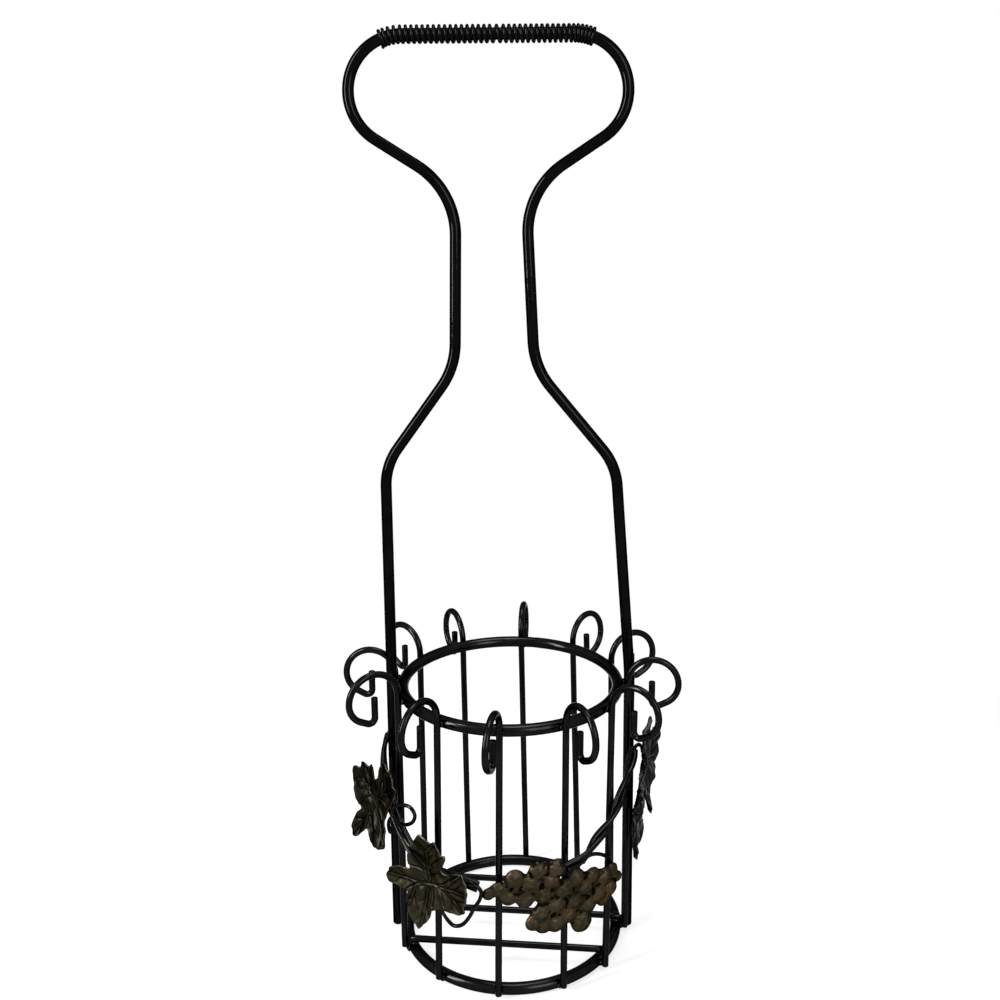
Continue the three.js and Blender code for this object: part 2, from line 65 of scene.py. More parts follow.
RING_WIRE, RING_RADIUS, RING_SPACING = 5.5, 52.0, 127.0
UPRIGHT_WIRE, HANDLE_ROD, WELD_GAP = 3.2, 5.3, 0.3

BOTTOM_RING = RING_WIRE / 2
TOP_RING = BOTTOM_RING + RING_SPACING
RING_OUTSIDE = RING_RADIUS + RING_WIRE / 2
UPRIGHT_RADIUS = RING_OUTSIDE + WELD_GAP + UPRIGHT_WIRE / 2
LEG_RADIUS = RING_OUTSIDE + WELD_GAP + HANDLE_ROD / 2
CAGE_OUTSIDE = UPRIGHT_RADIUS + UPRIGHT_WIRE / 2

together = (UPRIGHT_WIRE + HANDLE_ROD) / 2 + WELD_GAP
BESIDE_LEG = math.degrees(math.acos(
    (UPRIGHT_RADIUS ** 2 + LEG_RADIUS ** 2 - together ** 2) / (2 * UPRIGHT_RADIUS * LEG_RADIUS)))
print(f"uprights stand at radius {UPRIGHT_RADIUS:.2f} mm, {BESIDE_LEG:.2f} degrees beside the legs")

# %% [markdown]
# ## A round wire from a line
#
# A wire is a circle pushed along a line. Blender can do that with a bevelled curve, but a mesh
# gives more say: the circle can narrow at a seam and shrink to a rounded end, as a cut wire has
# after dipping. From point to point the circle turns as little as it can, so the tube doesn't
# twist.

# %% Directions along a line
def unit(ways):
    """The same directions, each one long."""
    return ways / np.linalg.norm(ways, axis=-1, keepdims=True)


def ways_along(points, closed=False):
    if closed:
        return unit(np.roll(points, -1, axis=0) - np.roll(points, 1, axis=0))
    return unit(np.gradient(points, axis=0))


def carried_frames(points, closed):
    """Two directions across the line at each point, carried along without twist."""
    ways = ways_along(points, closed)
    nearly_upright = 0.9
    start = np.array([0.0, 0.0, 1.0] if abs(ways[0][2]) < nearly_upright else [1.0, 0.0, 0.0])
    across = np.cross(ways[0], start)
    firsts = []
    for way in ways:
        across = unit(across - way * np.dot(across, way))
        firsts.append(across)
    firsts = np.array(firsts)
    return firsts, np.cross(ways, firsts)


# %% Tubes
# A cut end under paint: the circle shrinks in three short steps. Both are parts of the radius.
END_STEPS, END_SIZES = np.array([0.0, 0.04, 0.16]), np.array([0.80, 0.93, 1.0])


def add_object(name, data):
    made = bpy.data.objects.new(name, data)
    bpy.context.scene.collection.objects.link(made)
    return made


def mesh_object(name, vertices, faces):
    mesh = bpy.data.meshes.new(name)
    mesh.from_pydata(vertices, [], faces)
    mesh.shade_smooth()
    return add_object(name, mesh)


def tube_mesh(points, radii, sides, closed):
    """Vertices and faces of a wire along points, with a radius for each point."""
    if not closed:
        ways = ways_along(points)
        head = [points[0] + ways[0] * radii[0] * step for step in END_STEPS]
        tail = [points[-1] - ways[-1] * radii[-1] * step for step in END_STEPS[::-1]]
        points = np.vstack([head, points[1:-1], tail])
        radii = np.concatenate([radii[0] * END_SIZES, radii[1:-1], radii[-1] * END_SIZES[::-1]])
    one, other = carried_frames(points, closed)
    angles = np.linspace(0, 2 * np.pi, sides, endpoint=False)
    ring = np.cos(angles)[:, None] * one[:, None] + np.sin(angles)[:, None] * other[:, None]
    vertices = (points[:, None] + ring * radii[:, None, None]).reshape(-1, 3)
    here = np.arange(len(vertices)).reshape(-1, sides)
    there = np.roll(here, -1, axis=0)
    faces = np.stack([here, np.roll(here, -1, axis=1), np.roll(there, -1, axis=1), there], axis=2)
    if closed:
        return vertices, faces.reshape(-1, 4).tolist()
    caps = [here[0, ::-1].tolist(), here[-1].tolist()]
    return vertices, faces[:-1].reshape(-1, 4).tolist() + caps


# %% [markdown]
# ## Paint on wire
#
# The cage is dipped in glossy black enamel. Up close such paint is never even: it pulls back into
# an orange-peel skin, and the wire under it has small dents, so a highlight runs along it as a
# broken line. Here and there sits a speck of dust. All of that is noise in the frame's space,
# where every mesh keeps its origin.
#
# Black paint could be a dark plastic, but that turns pale along the sides of a wire. So it is a
# very dark metal, whose shine at the sides can be set by itself. It lies smoother on the rod
# and on the thin winding, so they have mixes of their own.

# %% Node helpers
def new_material(name):
    material = bpy.data.materials.new(name)
    material.use_nodes = True
    nodes = material.node_tree.nodes
    return material, nodes, nodes["Principled BSDF"]


def put(value, entry):
    """Sets an input of a node. value is a number, a colour or another node's output."""
    if isinstance(value, bpy.types.NodeSocket):
        entry.id_data.links.new(value, entry)
    else:
        entry.default_value = (*value, 1) if isinstance(value, tuple) else value


def add_node(nodes, kind, inputs, output, **settings):
    """One output of a new node. inputs says what to put into each input, by name or number."""
    node = nodes.new("ShaderNode" + kind)
    for name, value in settings.items():
        setattr(node, name, value)
    for name, value in inputs.items():
        put(value, node.inputs[name])
    return node.outputs[output]


def noise_node(nodes, size_mm, detail=3.0, roughness=0.5):
    """Noise whose blotches are about size_mm across, in the frame's space."""
    place = add_node(nodes, "TexCoord", {}, "Object")
    return add_node(nodes, "TexNoise", {"Vector": place, "Scale": 1 / (size_mm * MM),
                                        "Detail": detail, "Roughness": roughness}, "Fac")


def ramp_node(nodes, factor, stops):
    """A colour ramp; stops are (place, grey or colour)."""
    ramp = nodes.new("ShaderNodeValToRGB")
    put(factor, ramp.inputs["Fac"])
    elements = ramp.color_ramp.elements
    while len(elements) < len(stops):
        elements.new(0.5)
    for element, (place, colour) in zip(elements, stops):
        element.position = place
        rgb = (colour,) * 3 if np.isscalar(colour) else colour
        element.color = (*rgb, 1)
    return ramp.outputs["Color"]


def bump_node(nodes, height, depth_mm, **below):
    inputs = {"Height": height, "Distance": depth_mm * MM, **below}
    return add_node(nodes, "Bump", inputs, "Normal")


def mix_node(nodes, factor, a, b):
    """Colour a where factor is 0, b where it is 1. Inputs 6 and 7 of the node are its colours."""
    return add_node(nodes, "Mix", {0: factor, 6: a, 7: b}, 2, data_type="RGBA")


def dark_metal(shader, colour, roughness, normal, edge):
    for name, value in (("Base Color", colour), ("Roughness", roughness), ("Normal", normal),
                        ("Metallic", 1.0), ("Specular Tint", edge)):
        put(value, shader.inputs[name])


# %% Black enamel
def black_enamel(name, tone, gloss, skin_mm, edge):
    """tone is how much light the black gives back, gloss its roughness where it is smoothest,
    skin_mm the depth of its skin, edge its shine where it is seen from the side."""
    material, nodes, shader = new_material(name)
    thin, thick = (0.75, 0.75, 0.78), (1.3, 1.27, 1.22)
    paint = ramp_node(nodes, noise_node(nodes, 9, detail=4),
                      [(0.3, tuple(tone * t for t in thin)), (0.7, tuple(tone * t for t in thick))])
    specks = ramp_node(nodes, noise_node(nodes, 0.7, detail=2), [(0.74, 0.0), (0.80, 1.0)])
    dusty = mix_node(nodes, specks, paint, (0.03, 0.028, 0.026))
    dull = ramp_node(nodes, noise_node(nodes, 4.5, detail=5, roughness=0.6),
                     [(0.32, gloss), (0.72, gloss * 1.7)])
    dents = bump_node(nodes, noise_node(nodes, 6, detail=2), 0.10)
    skin = bump_node(nodes, noise_node(nodes, 1.1), skin_mm, Normal=dents)
    dark_metal(shader, dusty, dull, skin, (edge,) * 3)
    return material


enamel = black_enamel("black_enamel", 0.0085, 0.14, 0.010, edge=0.45)
rod_enamel = black_enamel("black_enamel_on_the_rod", 0.0043, 0.07, 0.004, edge=0.3)
winding_enamel = black_enamel("black_enamel_on_thin_wire", 0.0065, 0.13, 0.005, edge=0.3)
print("three enamels: for the cage, for the handle's rod and for the thin winding")

# %% Finished pieces
def finish_piece(piece, material, slot, *nodes):
    """Gives a piece its finish and lets it stand for the CAD nodes that it draws again."""
    piece.data.materials.append(material)
    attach(piece, "root")
    if nodes:
        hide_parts(*nodes)
    return piece


def painted_wire(name, nodes, points, diameter, sides, paint=enamel, closed=False, swell=1.0):
    """A wire along points in millimetres. swell is how thick it is in parts of its diameter,
    one number or one for each point."""
    radii = diameter / 2 * np.array(swell) * np.ones(len(points))
    vertices, faces = tube_mesh(points, radii, sides, closed)
    return finish_piece(mesh_object(name, vertices * MM, faces), paint, "black_paint", *nodes)


# %% [markdown]
# ## The two rings
#
# Each ring is a length of 5.5 mm wire, rolled and butt-welded. The seam is ground off, which
# leaves the wire two tenths of a millimetre thinner, and it is put at the back, where a maker
# would turn it. A torus would do, but it has no place for a seam.

# %% Rings
RING_STEPS, SEAM_DEPTH, SEAM_REACH = 180, 0.04, 1.8
ring_angles = np.linspace(0, 2 * np.pi, RING_STEPS, endpoint=False)


def ring_points(height):
    return np.stack([RING_RADIUS * np.cos(ring_angles), RING_RADIUS * np.sin(ring_angles),
                     np.full(RING_STEPS, height)], axis=1)


def ground_seam(angle_deg):
    away = (np.degrees(ring_angles) - angle_deg + 180) % 360 - 180
    return 1 - SEAM_DEPTH * np.exp(-(away / SEAM_REACH) ** 2)


for name, height, seam in (("bottom_ring", BOTTOM_RING, 101), ("top_ring", TOP_RING, 78)):
    ring = painted_wire(f"{name}_wire", [name], ring_points(height), RING_WIRE, 20, closed=True,
                        swell=ground_seam(seam))
    print(name, "at height", height, "mm,", len(ring.data.polygons), "faces")

# %% [markdown]
# ## Bent wires
#
# The uprights and the handle are straight lengths joined by round bends. A free curve would
# bulge where a wire is straight. So, as in a workshop drawing, a bent wire is given by its
# corners and the bend radius at each. The straights get points too, so that the wire can be a
# little uneven there.

# %% Bends
STRAIGHT_STEP = 6.0


def bent_wire(corners, degrees_per_step=5.0):
    """Points [x, z] along a wire with corners [x, z, bend radius]."""
    at = [np.array(c[:2], float) for c in corners]
    path = [at[0]]

    def straight_to(point):
        begin = path[-1]
        steps = max(1, int(np.linalg.norm(point - begin) / STRAIGHT_STEP))
        path.extend(begin + (point - begin) * k / steps for k in range(1, steps + 1))

    for i in range(1, len(at) - 1):
        before, after = unit(at[i] - at[i - 1]), unit(at[i + 1] - at[i])
        turn = math.atan2(before[0] * after[1] - before[1] * after[0], before @ after)
        radius = corners[i][2]
        start = at[i] - before * radius * math.tan(abs(turn) / 2)
        side = np.array([-before[1], before[0]]) * math.copysign(1, turn)
        centre = start + side * radius
        if np.linalg.norm(start - path[-1]) > 1e-6:
            straight_to(start)
        steps = max(2, int(math.degrees(abs(turn)) / degrees_per_step))
        for k in range(1, steps + 1):
            c, s = math.cos(turn * k / steps), math.sin(turn * k / steps)
            path.append(centre + np.array([[c, -s], [s, c]]) @ (start - centre))
    straight_to(at[-1])
    return np.array(path)


def around(angle, height, radius):
    a = math.radians(angle)
    return np.array([radius * math.cos(a), radius * math.sin(a), height])


def stood_up(path, angle, leans, raised, swung):
    """A path [x, z] stood at an angle round the cage, x outwards, leaned sideways about the
    middle between the rings, and swung about itself."""
    turn, lean = math.radians(angle + swung), math.radians(leans)
    middle = (BOTTOM_RING + TOP_RING) / 2
    up = path[:, 1] - middle
    out, beside = path[:, 0], up * math.sin(lean)
    return around(angle, middle + raised, UPRIGHT_RADIUS) + np.stack(
        [out * math.cos(turn) - beside * math.sin(turn),
         out * math.sin(turn) + beside * math.cos(turn), up * math.cos(lean)], axis=1)


# %% [markdown]
# ## Twelve uprights with scroll hooks
#
# Each upright is welded to the outside of both rings, rolls over outwards in a scroll and ends in
# a short straight tail inside it. The scrolls are bent round a peg, so one upright could be
# copied twelve times. But they are welded by eye, so each has its own angle, lean and height,
# read off the photograph, some hooks point aside, and the wire wavers by a few hundredths of a
# millimetre.

# %% Uprights
UPRIGHT_COUNT, FOOT_LIFT = 12, 1.2
SCROLL_LIFT, SCROLL_RADIUS, SCROLL_DROP, SCROLL_SLOPE, SCROLL_LOWER_BEND = 0.9, 12.2, 11.0, 26, 10.2
TAIL_REACH, TAIL_BEND, TAIL_TOP = 11.8, 2.6, 1.2
# Degrees on from an even spacing, degrees of lean, millimetres raised, degrees swung aside.
upright_places = [
    (0, 0, 0.5, 0), (0.6, 0.5, 0, 0), (-1.2, 1.6, 0.4, -4), (-0.8, 0.9, 1, 0),
    (1.7, 0.6, 0, -1), (0.9, 0.1, 0.8, -8), (0, 0, 1.1, 0), (-1, -0.4, 3, 8),
    (0.1, 0.8, 2.3, 1), (0.5, 0.7, 1.3, -8), (1.3, 0.5, 1.6, 3), (-0.7, 1.8, 0.4, 0)]

scroll_height = TOP_RING + SCROLL_LIFT
scroll_over = scroll_height + SCROLL_RADIUS
scroll_under = scroll_height - SCROLL_DROP
tail_corner = scroll_under - TAIL_BEND * (math.tan(math.radians(90 + SCROLL_SLOPE) / 2) - 1)
slope_rise = (2 * SCROLL_RADIUS - TAIL_REACH) * math.tan(math.radians(SCROLL_SLOPE))
upright_corners = [
    (0, FOOT_LIFT, 0), (0, scroll_over, SCROLL_RADIUS),
    (2 * SCROLL_RADIUS, scroll_over, SCROLL_RADIUS),
    (2 * SCROLL_RADIUS, tail_corner + slope_rise, SCROLL_LOWER_BEND),
    (TAIL_REACH, tail_corner, TAIL_BEND), (TAIL_REACH, scroll_height + TAIL_TOP, 0)]
upright_path = bent_wire(upright_corners)
WAVER, WAVER_LENGTH = 0.06, 30.0
noise.seed_set(5)  # without a seed, Blender takes one from the clock for noise_vector


def wavered(points, seed):
    """Moves a wire's points a little, and smoothly, as bending by hand leaves them."""
    moved = points.copy()
    for p in moved:
        place = Vector(p / WAVER_LENGTH) + Vector((seed * 7.3, seed * 1.9, 0))
        p += np.array(noise.noise_vector(place)) * WAVER
    return moved


def upright_angle(i):
    return i * 360 / UPRIGHT_COUNT - BESIDE_LEG + upright_places[i][0]


for i, (_, leans, raised, swung) in enumerate(upright_places):
    points = wavered(stood_up(upright_path, upright_angle(i), leans, raised, swung), i)
    number = f"{i + 1:02d}"
    painted_wire(f"hook_upright_wire_{number}", [f"hook_upright_{number}"], points,
                 UPRIGHT_WIRE, 14)
print("an upright has", len(upright_path), "points along its line")

# %% [markdown]
# ## Three floor wires
#
# The bottle stands on three straight wires, laid across the bottom ring and welded. A cylinder
# each would do, but they waver like the others.

# %% Floor wires
FLOOR_WIRE, FLOOR_PITCH, FLOOR_INSET = 3.2, 26.5, 0.6
floor_height = BOTTOM_RING + RING_WIRE / 2 + WELD_GAP + FLOOR_WIRE / 2
floor_reach = RING_OUTSIDE - FLOOR_INSET
inside_uprights = UPRIGHT_RADIUS - UPRIGHT_WIRE / 2 - WELD_GAP
along = around(-BESIDE_LEG, 0, 1)
floor_ends = []
for name, row in (("floor_wire_front", -1), ("floor_wire_middle", 0), ("floor_wire_back", 1)):
    offset = row * FLOOR_PITCH
    far_edge = abs(offset) + FLOOR_WIRE / 2
    half = min(math.sqrt(floor_reach ** 2 - far_edge ** 2), inside_uprights)
    beside = np.array([-along[1], along[0], 0]) * offset
    points = np.outer(np.linspace(-half, half, 24), along) + beside + [0, 0, floor_height]
    painted_wire(f"{name}_wire", [name], wavered(points, row + 20), FLOOR_WIRE, 14)
    on_ring = math.sqrt(RING_RADIUS ** 2 - offset ** 2)
    floor_ends += [beside + along * s * on_ring for s in (-1, 1)]
    print(name, f"is {2 * half:.1f} mm long")

# %% [markdown]
# ## The handle frame
#
# One 5.3 mm rod runs from the foot of one leg, up the outline of a bottle, over the grip and
# down again. One half could be bent and mirrored. But the rod was bent by hand and leans a
# little to the left, so each bend has its own shift.

# %% Handle
FOOT, LEG_BEND = 0.6, 120.0
# From each bend to the next, upwards: the shoulder, the neck's foot and top, and the grip.
SHOULDER_RISE, NECK_FOOT_RISE, NECK_TOP_RISE, GRIP_RISE = 107.75, 46.5, 80.5, 67.3
shoulder_height = TOP_RING + SHOULDER_RISE
neck_foot_height = shoulder_height + NECK_FOOT_RISE
neck_top_height = neck_foot_height + NECK_TOP_RISE
GRIP_HEIGHT = neck_top_height + GRIP_RISE
NECK_TOP_HALF_WIDTH, CROWN_HALF_WIDTH, CROWN_BEND = 15.8, 62.2, 24.3
NECK_TOP_SHIFT, CROWN_SHIFT = 7.1, 9.4


def crown_corner():
    """Half the distance between the crown's corners before they are bent."""
    neck_top = np.array([NECK_TOP_HALF_WIDTH, neck_top_height])
    way = np.array([CROWN_HALF_WIDTH - CROWN_BEND, GRIP_HEIGHT - CROWN_BEND]) - neck_top
    slope = math.atan2(way[1], way[0]) - math.asin(CROWN_BEND / np.linalg.norm(way))
    return neck_top[0] + (GRIP_HEIGHT - neck_top[1]) / math.tan(slope)


handle_bends = [  # half width, height, bend, shift to the left
    (LEG_RADIUS, FOOT, 0, 0),
    (LEG_RADIUS, TOP_RING + RING_WIRE, LEG_BEND, 0),
    (54.1, shoulder_height, 31, 3.8),
    (18.3, neck_foot_height, 36, 6.1),
    (NECK_TOP_HALF_WIDTH, neck_top_height, 36, NECK_TOP_SHIFT),
    (crown_corner(), GRIP_HEIGHT, CROWN_BEND, CROWN_SHIFT),
]
handle_corners = [(side * half - shift, z, bend) for side in (1, -1)
                  for half, z, bend, shift in handle_bends[::side]]
handle_path = bent_wire(handle_corners, degrees_per_step=3)
handle_points = np.insert(handle_path, 1, 0, axis=1)
painted_wire("handle_rod", ["handle_frame"], handle_points, HANDLE_ROD, 22, rod_enamel)


def gone_along(line):
    """How far along the line each of its points lies."""
    return np.append(0, np.cumsum(np.linalg.norm(np.diff(line, axis=0), axis=1)))


print(f"the handle takes {gone_along(handle_points)[-1]:.0f} mm of rod")

# %% [markdown]
# ## The grip winding
#
# About 0.9 m of thin wire is wound round the top of the rod in forty-one turns. A row of rings
# would look much the same, but it is one wire, so it is one tube along a screw line that follows
# the rod into both bends. The real turns aren't even: they lie open over most of the grip, one
# gap shows right of the middle, and the last turns at the right are packed tight. So they are
# counted along the rod from a list of pitches.

# %% Winding
WINDING_WIRE, WINDING_TURNS, WINDING_FROM, WINDING_TO = 1.62, 41, -46.2, 48.5
TURN_STEPS, FIRST_TURN, END_RUN = 26, math.pi * 0.375, 1.5
PRESSED, LOOSE = 0.07, 0.03  # onto the rod, and off it by up to so much
pitch_places = [-46.2, -44.4, -42.5, -38, 2.0, 5.5, 9.0, 36, 41, 48.5]
pitch_values = [1.6, 1.65, 2.3, 2.52, 2.52, 3.5, 2.5, 2.42, 1.7, 1.62]


def grip_straight(side):
    """Half of the straight between the crown's bends, on the left (-1) or the right (1)."""
    rise = GRIP_HEIGHT - neck_top_height
    run = crown_corner() - NECK_TOP_HALF_WIDTH - side * (CROWN_SHIFT - NECK_TOP_SHIFT)
    return crown_corner() - CROWN_BEND * math.tan((math.pi - math.atan2(rise, run)) / 2)


def grip_line(distance):
    """The rod's middle line and its upward direction, by the distance from the grip's middle."""
    side = -1 if distance < 0 else 1
    straight = grip_straight(side)
    bent = max(0, abs(distance) - straight) / CROWN_BEND
    out = min(abs(distance), straight) + CROWN_BEND * math.sin(bent)
    down = CROWN_BEND * (1 - math.cos(bent))
    return (np.array([side * out - CROWN_SHIFT, 0, GRIP_HEIGHT - down]),
            np.array([side * math.sin(bent), 0, math.cos(bent)]))


distances = np.linspace(WINDING_FROM, WINDING_TO, 2001)
turns = np.append(0, np.cumsum(np.diff(distances) / np.interp(
    (distances[1:] + distances[:-1]) / 2, pitch_places, pitch_values)))
turns *= WINDING_TURNS / turns[-1]
screw_line = []
for k in range(WINDING_TURNS * TURN_STEPS + 1):
    turn = k / TURN_STEPS
    middle, up = grip_line(np.interp(turn, turns, distances))
    angle = 2 * math.pi * turn - FIRST_TURN
    loose = -PRESSED + LOOSE * noise.noise(Vector((turn * 0.45, 3.1, 0)))
    radius = (HANDLE_ROD + WINDING_WIRE) / 2 + loose
    screw_line.append(middle + up * radius * math.sin(angle)
                      + np.array([0, radius * math.cos(angle), 0]))
screw_line = np.array(screw_line)
head = screw_line[0] + (screw_line[0] - screw_line[1]) * END_RUN
tail = screw_line[-1] + (screw_line[-1] - screw_line[-2]) * END_RUN
painted_wire("grip_winding_wire", ["grip_winding"], np.vstack([head, screw_line, tail]),
             WINDING_WIRE, 10, winding_enamel)
print(f"the winding takes {gone_along(screw_line)[-1]:.0f} mm in {WINDING_TURNS} turns")

# %% [markdown]
# ## The vine's wires
#
# Two twisted strands run from the left leg down to the front leaf and the grapes, and two more
# from the grapes up to the right leg. A pair could be one rope, but each strand has its own line
# of light, so each is a tube. Their lines are drawn on an unrolled cage: an angle, a height in
# hundredths of the ring's radius above the strands' lowest place, and a distance out from the
# uprights.

# %% Curves round the cage
STRAND_WIRE, STRAND_GAP = 2.5, 0.4
STEM_DEPTH = STRAND_WIRE + STRAND_GAP / 2
STEM_RADIUS = CAGE_OUTSIDE + WELD_GAP + STEM_DEPTH
VINE_UNIT = RING_RADIUS / 100
VINE_HANG, SPAN_STEPS = 58.7, 24
VINE_HEIGHT = scroll_under - UPRIGHT_WIRE / 2 - VINE_HANG


def smooth_line(points, closed=False):
    """A centripetal Catmull-Rom line through points, the same that the CAD model uses."""
    p = [np.array(q, float) for q in points]
    if closed:
        p = [p[-1], *p, p[0], p[1]]
    else:
        p = [2 * p[0] - p[1], *p, 2 * p[-1] - p[-2]]
    line = []
    for a, b, c, d in zip(p, p[1:], p[2:], p[3:]):
        gaps = [max(np.linalg.norm(q - r) ** 0.5, 1e-4) for q, r in ((b, a), (c, b), (d, c))]
        start = ((b - a) / gaps[0] - (c - a) / (gaps[0] + gaps[1]) + (c - b) / gaps[1]) * gaps[1]
        end = ((c - b) / gaps[1] - (d - b) / (gaps[1] + gaps[2]) + (d - c) / gaps[2]) * gaps[1]
        for t in np.linspace(0, 1, SPAN_STEPS, endpoint=False):
            line.append(b + start * t + (3 * (c - b) - 2 * start - end) * t ** 2
                        + (2 * (b - c) + start + end) * t ** 3)
    if not closed:
        line.append(p[-2])
    return np.array(line)


def evenly(line, count):
    """The same line with points at even distances."""
    gone = gone_along(line)
    at = np.linspace(0, gone[-1], count)
    return np.stack([np.interp(at, gone, line[:, k]) for k in range(3)], axis=1)


def vine_line(points, radius, count):
    """points are [angle, height, distance out in strand wires]."""
    chart = smooth_line([(angle, VINE_HEIGHT + height * VINE_UNIT, radius + out * STRAND_WIRE)
                         for angle, height, out in points])
    return evenly(np.array([around(*p) for p in chart]), count)


# %% Twisted strands
STRANDS_PRESSED = 0.05
stems = {  # turns, start angle, points
    "stem_left": (1, 49, [(171, 75.3, 0.36), (176, 71.4, 0.44), (181, 66.6, 0.44),
                          (190, 56.1, 0.24), (199, 44.5, 0), (208, 33.6, 0), (216, 24.7, 0),
                          (225, 15.3, 0), (236, 8.2, 0), (248, 4.1, 0), (257.7, -0.5, 0)]),
    "stem_right": (1.6, 24, [(293.8, 16.6, 1.3), (302.8, 19.8, 0.7), (310.5, 29, 0.1),
                             (319.6, 38.1, -0.05), (326.5, 52, -0.05), (336.6, 70, -0.1),
                             (346, 83, -0.1)]),
}
for name, (turns, start_angle, points) in stems.items():
    middle = vine_line(points, STEM_RADIUS, 120)
    ways = ways_along(middle)
    outward = unit(middle * np.array([1, 1, 0]))
    across = unit(np.cross(ways, outward))
    for letter, half_turn in (("a", 0), ("b", 180)):
        degrees = start_angle + half_turn + 360 * turns * np.linspace(0, 1, len(middle))
        angles = np.radians(degrees)[:, None]
        offset = STRAND_WIRE / 2 - STRANDS_PRESSED
        strand = middle + outward * offset * np.cos(angles) + across * offset * np.sin(angles)
        painted_wire(f"{name}_strand_{letter}", [f"{name}_{letter}"], strand, STRAND_WIRE, 14)
    print(f"{name}: two strands, {gone_along(middle)[-1]:.0f} mm")

# %% [markdown]
# ## Tendrils
#
# Four thin wires curl as a vine's tendrils do: a loop that goes on as the stalk of the front
# leaf, a small curl beside it, one under that leaf and one beside the grapes. They are bent
# freely, so they follow smooth lines through a few places, not arcs, and thin out at the end.

# %% Tendrils
TENDRIL_WIRE = 1.8
TENDRIL_RADIUS = STEM_RADIUS + STEM_DEPTH + WELD_GAP + TENDRIL_WIRE / 2
tendrils = {
    "tendril_loop": [(214, 40.5, -0.08), (217, 39.7, 0), (220.4, 38.7, 0), (225, 41.6, 0),
                     (229, 48.2, 0), (230, 55.5, 0), (227.5, 60.5, 0.08), (223, 59.3, 0.48),
                     (219, 53.6, 0.88), (218, 47.4, 1.04), (220.5, 40.7, 1.12),
                     (224, 33.9, 1.28), (229, 27, 1.7), (234, 20.7, 1.8), (238, 13.7, 1.65)],
    "tendril_curl": [(213.6, 37.8, 0), (211.2, 32.4, 0), (210, 25.7, 0), (211.4, 21.2, 0),
                     (213.6, 23.6, 0), (214.4, 30.5, 0)],
    "tendril_front": [(252, 7.4, 0), (256.4, 6.8, 0), (259.5, 1.2, -0.1), (259.2, -7, -0.25),
                      (256.8, -16.4, -0.25), (254.5, -26.4, -0.32), (251.2, -35.3, -0.4),
                      (247.5, -38, -0.48), (244.2, -33.4, -0.56), (241.6, -26.4, -0.6)],
    "tendril_right": [(303.5, 11.5, -1.7), (306.5, 14.6, -2), (310.5, 13.9, -2.1), (317, 7, -2.24),
                      (322, -2.6, -2.26), (325.5, -15.1, -2.26), (327.5, -25.7, -2.26)],
}
for name, points in tendrils.items():
    line = vine_line(points, TENDRIL_RADIUS, 110)
    thinning = np.interp(np.linspace(0, 1, len(line)), [0, 0.85, 1], [1, 1, 0.8])
    painted_wire(f"{name}_wire", [name], line, TENDRIL_WIRE, 12, swell=thinning)
    print(f"{name}: {gone_along(line)[-1]:.0f} mm")

# %% [markdown]
# ## Patina, with painted shade and highlight
#
# The leaves and grapes are stamped from sheet and sprayed a matt, blotchy bronze brown. Black was
# rubbed into the hollows, and the ridges were wiped lighter. The same colours also paint the shade
# that falls in the hollows and a highlight on the ridges and rims. A renderer could find the
# hollows by itself, but an exported model can't. So every vertex carries a number, from 0 in the
# deepest hollow to 1 on the crests, which holds painted shade and painted highlight as well as the
# rubbed patina.

# %% Patina, with painted shade and highlight
def patina_with_painted_light(name, dark_and_painted_shade, body, rubbed_and_painted_highlight, grain_mm, gloss, edge=(0.3, 0.27, 0.2), patch_mm=6):
    """dark_and_painted_shade lies in the hollows, as rubbed-in black and painted shade, body on the
    blade, and rubbed_and_painted_highlight on the ridges, as wiped patina and painted highlight.
    grain_mm and patch_mm are the sizes of the spray's grain and of its blotches."""
    material, nodes, shader = new_material(name)
    olive, reddish = (0.88, 1.0, 0.85), (1.22, 0.98, 0.88)
    tone = ramp_node(nodes, noise_node(nodes, patch_mm, detail=5, roughness=0.6),
                     [(0.32, tuple(c * h * 0.6 for c, h in zip(body, olive))), (0.5, body),
                      (0.66, tuple(c * h * 1.35 for c, h in zip(body, reddish)))])
    fine = noise_node(nodes, grain_mm, detail=4, roughness=0.65)
    crest = add_node(nodes, "Attribute", {}, "Fac", attribute_name="crest")
    uneven = add_node(nodes, "Math", {0: fine, 1: 0.4, 2: crest}, 0, operation="MULTIPLY_ADD")
    # Hollows: rubbed-in black and painted shade. Ridges: wiped patina and painted highlight.
    hollow_and_painted_shade = ramp_node(nodes, uneven, [(0.28, 1.0), (0.60, 0.0)])
    ridge_and_painted_highlight = ramp_node(nodes, uneven, [(0.85, 0.0), (1.15, 1.0)])
    colour = mix_node(nodes, ridge_and_painted_highlight, mix_node(nodes, hollow_and_painted_shade, tone, dark_and_painted_shade), rubbed_and_painted_highlight)
    matt = ramp_node(nodes, fine, [(0.3, gloss), (0.7, gloss + 0.16)])
    dents = bump_node(nodes, noise_node(nodes, 3.2), 0.22)
    dark_metal(shader, colour, matt, bump_node(nodes, fine, 0.05, Normal=dents), edge)
    return material


leaf_patina = patina_with_painted_light("leaf_patina", (0.006, 0.0052, 0.0036), (0.0255, 0.0238, 0.0165),
                            (0.056, 0.054, 0.044), 0.8, 0.33)
# A darker copy for the left leaf: painted shade, as it turns away from the light.
painted_shade_left_leaf_patina = patina_with_painted_light("painted_shade_left_leaf_patina", (0.003, 0.0026, 0.0019),
                                 (0.0105, 0.0095, 0.0070), (0.032, 0.030, 0.025), 0.8, 0.28)
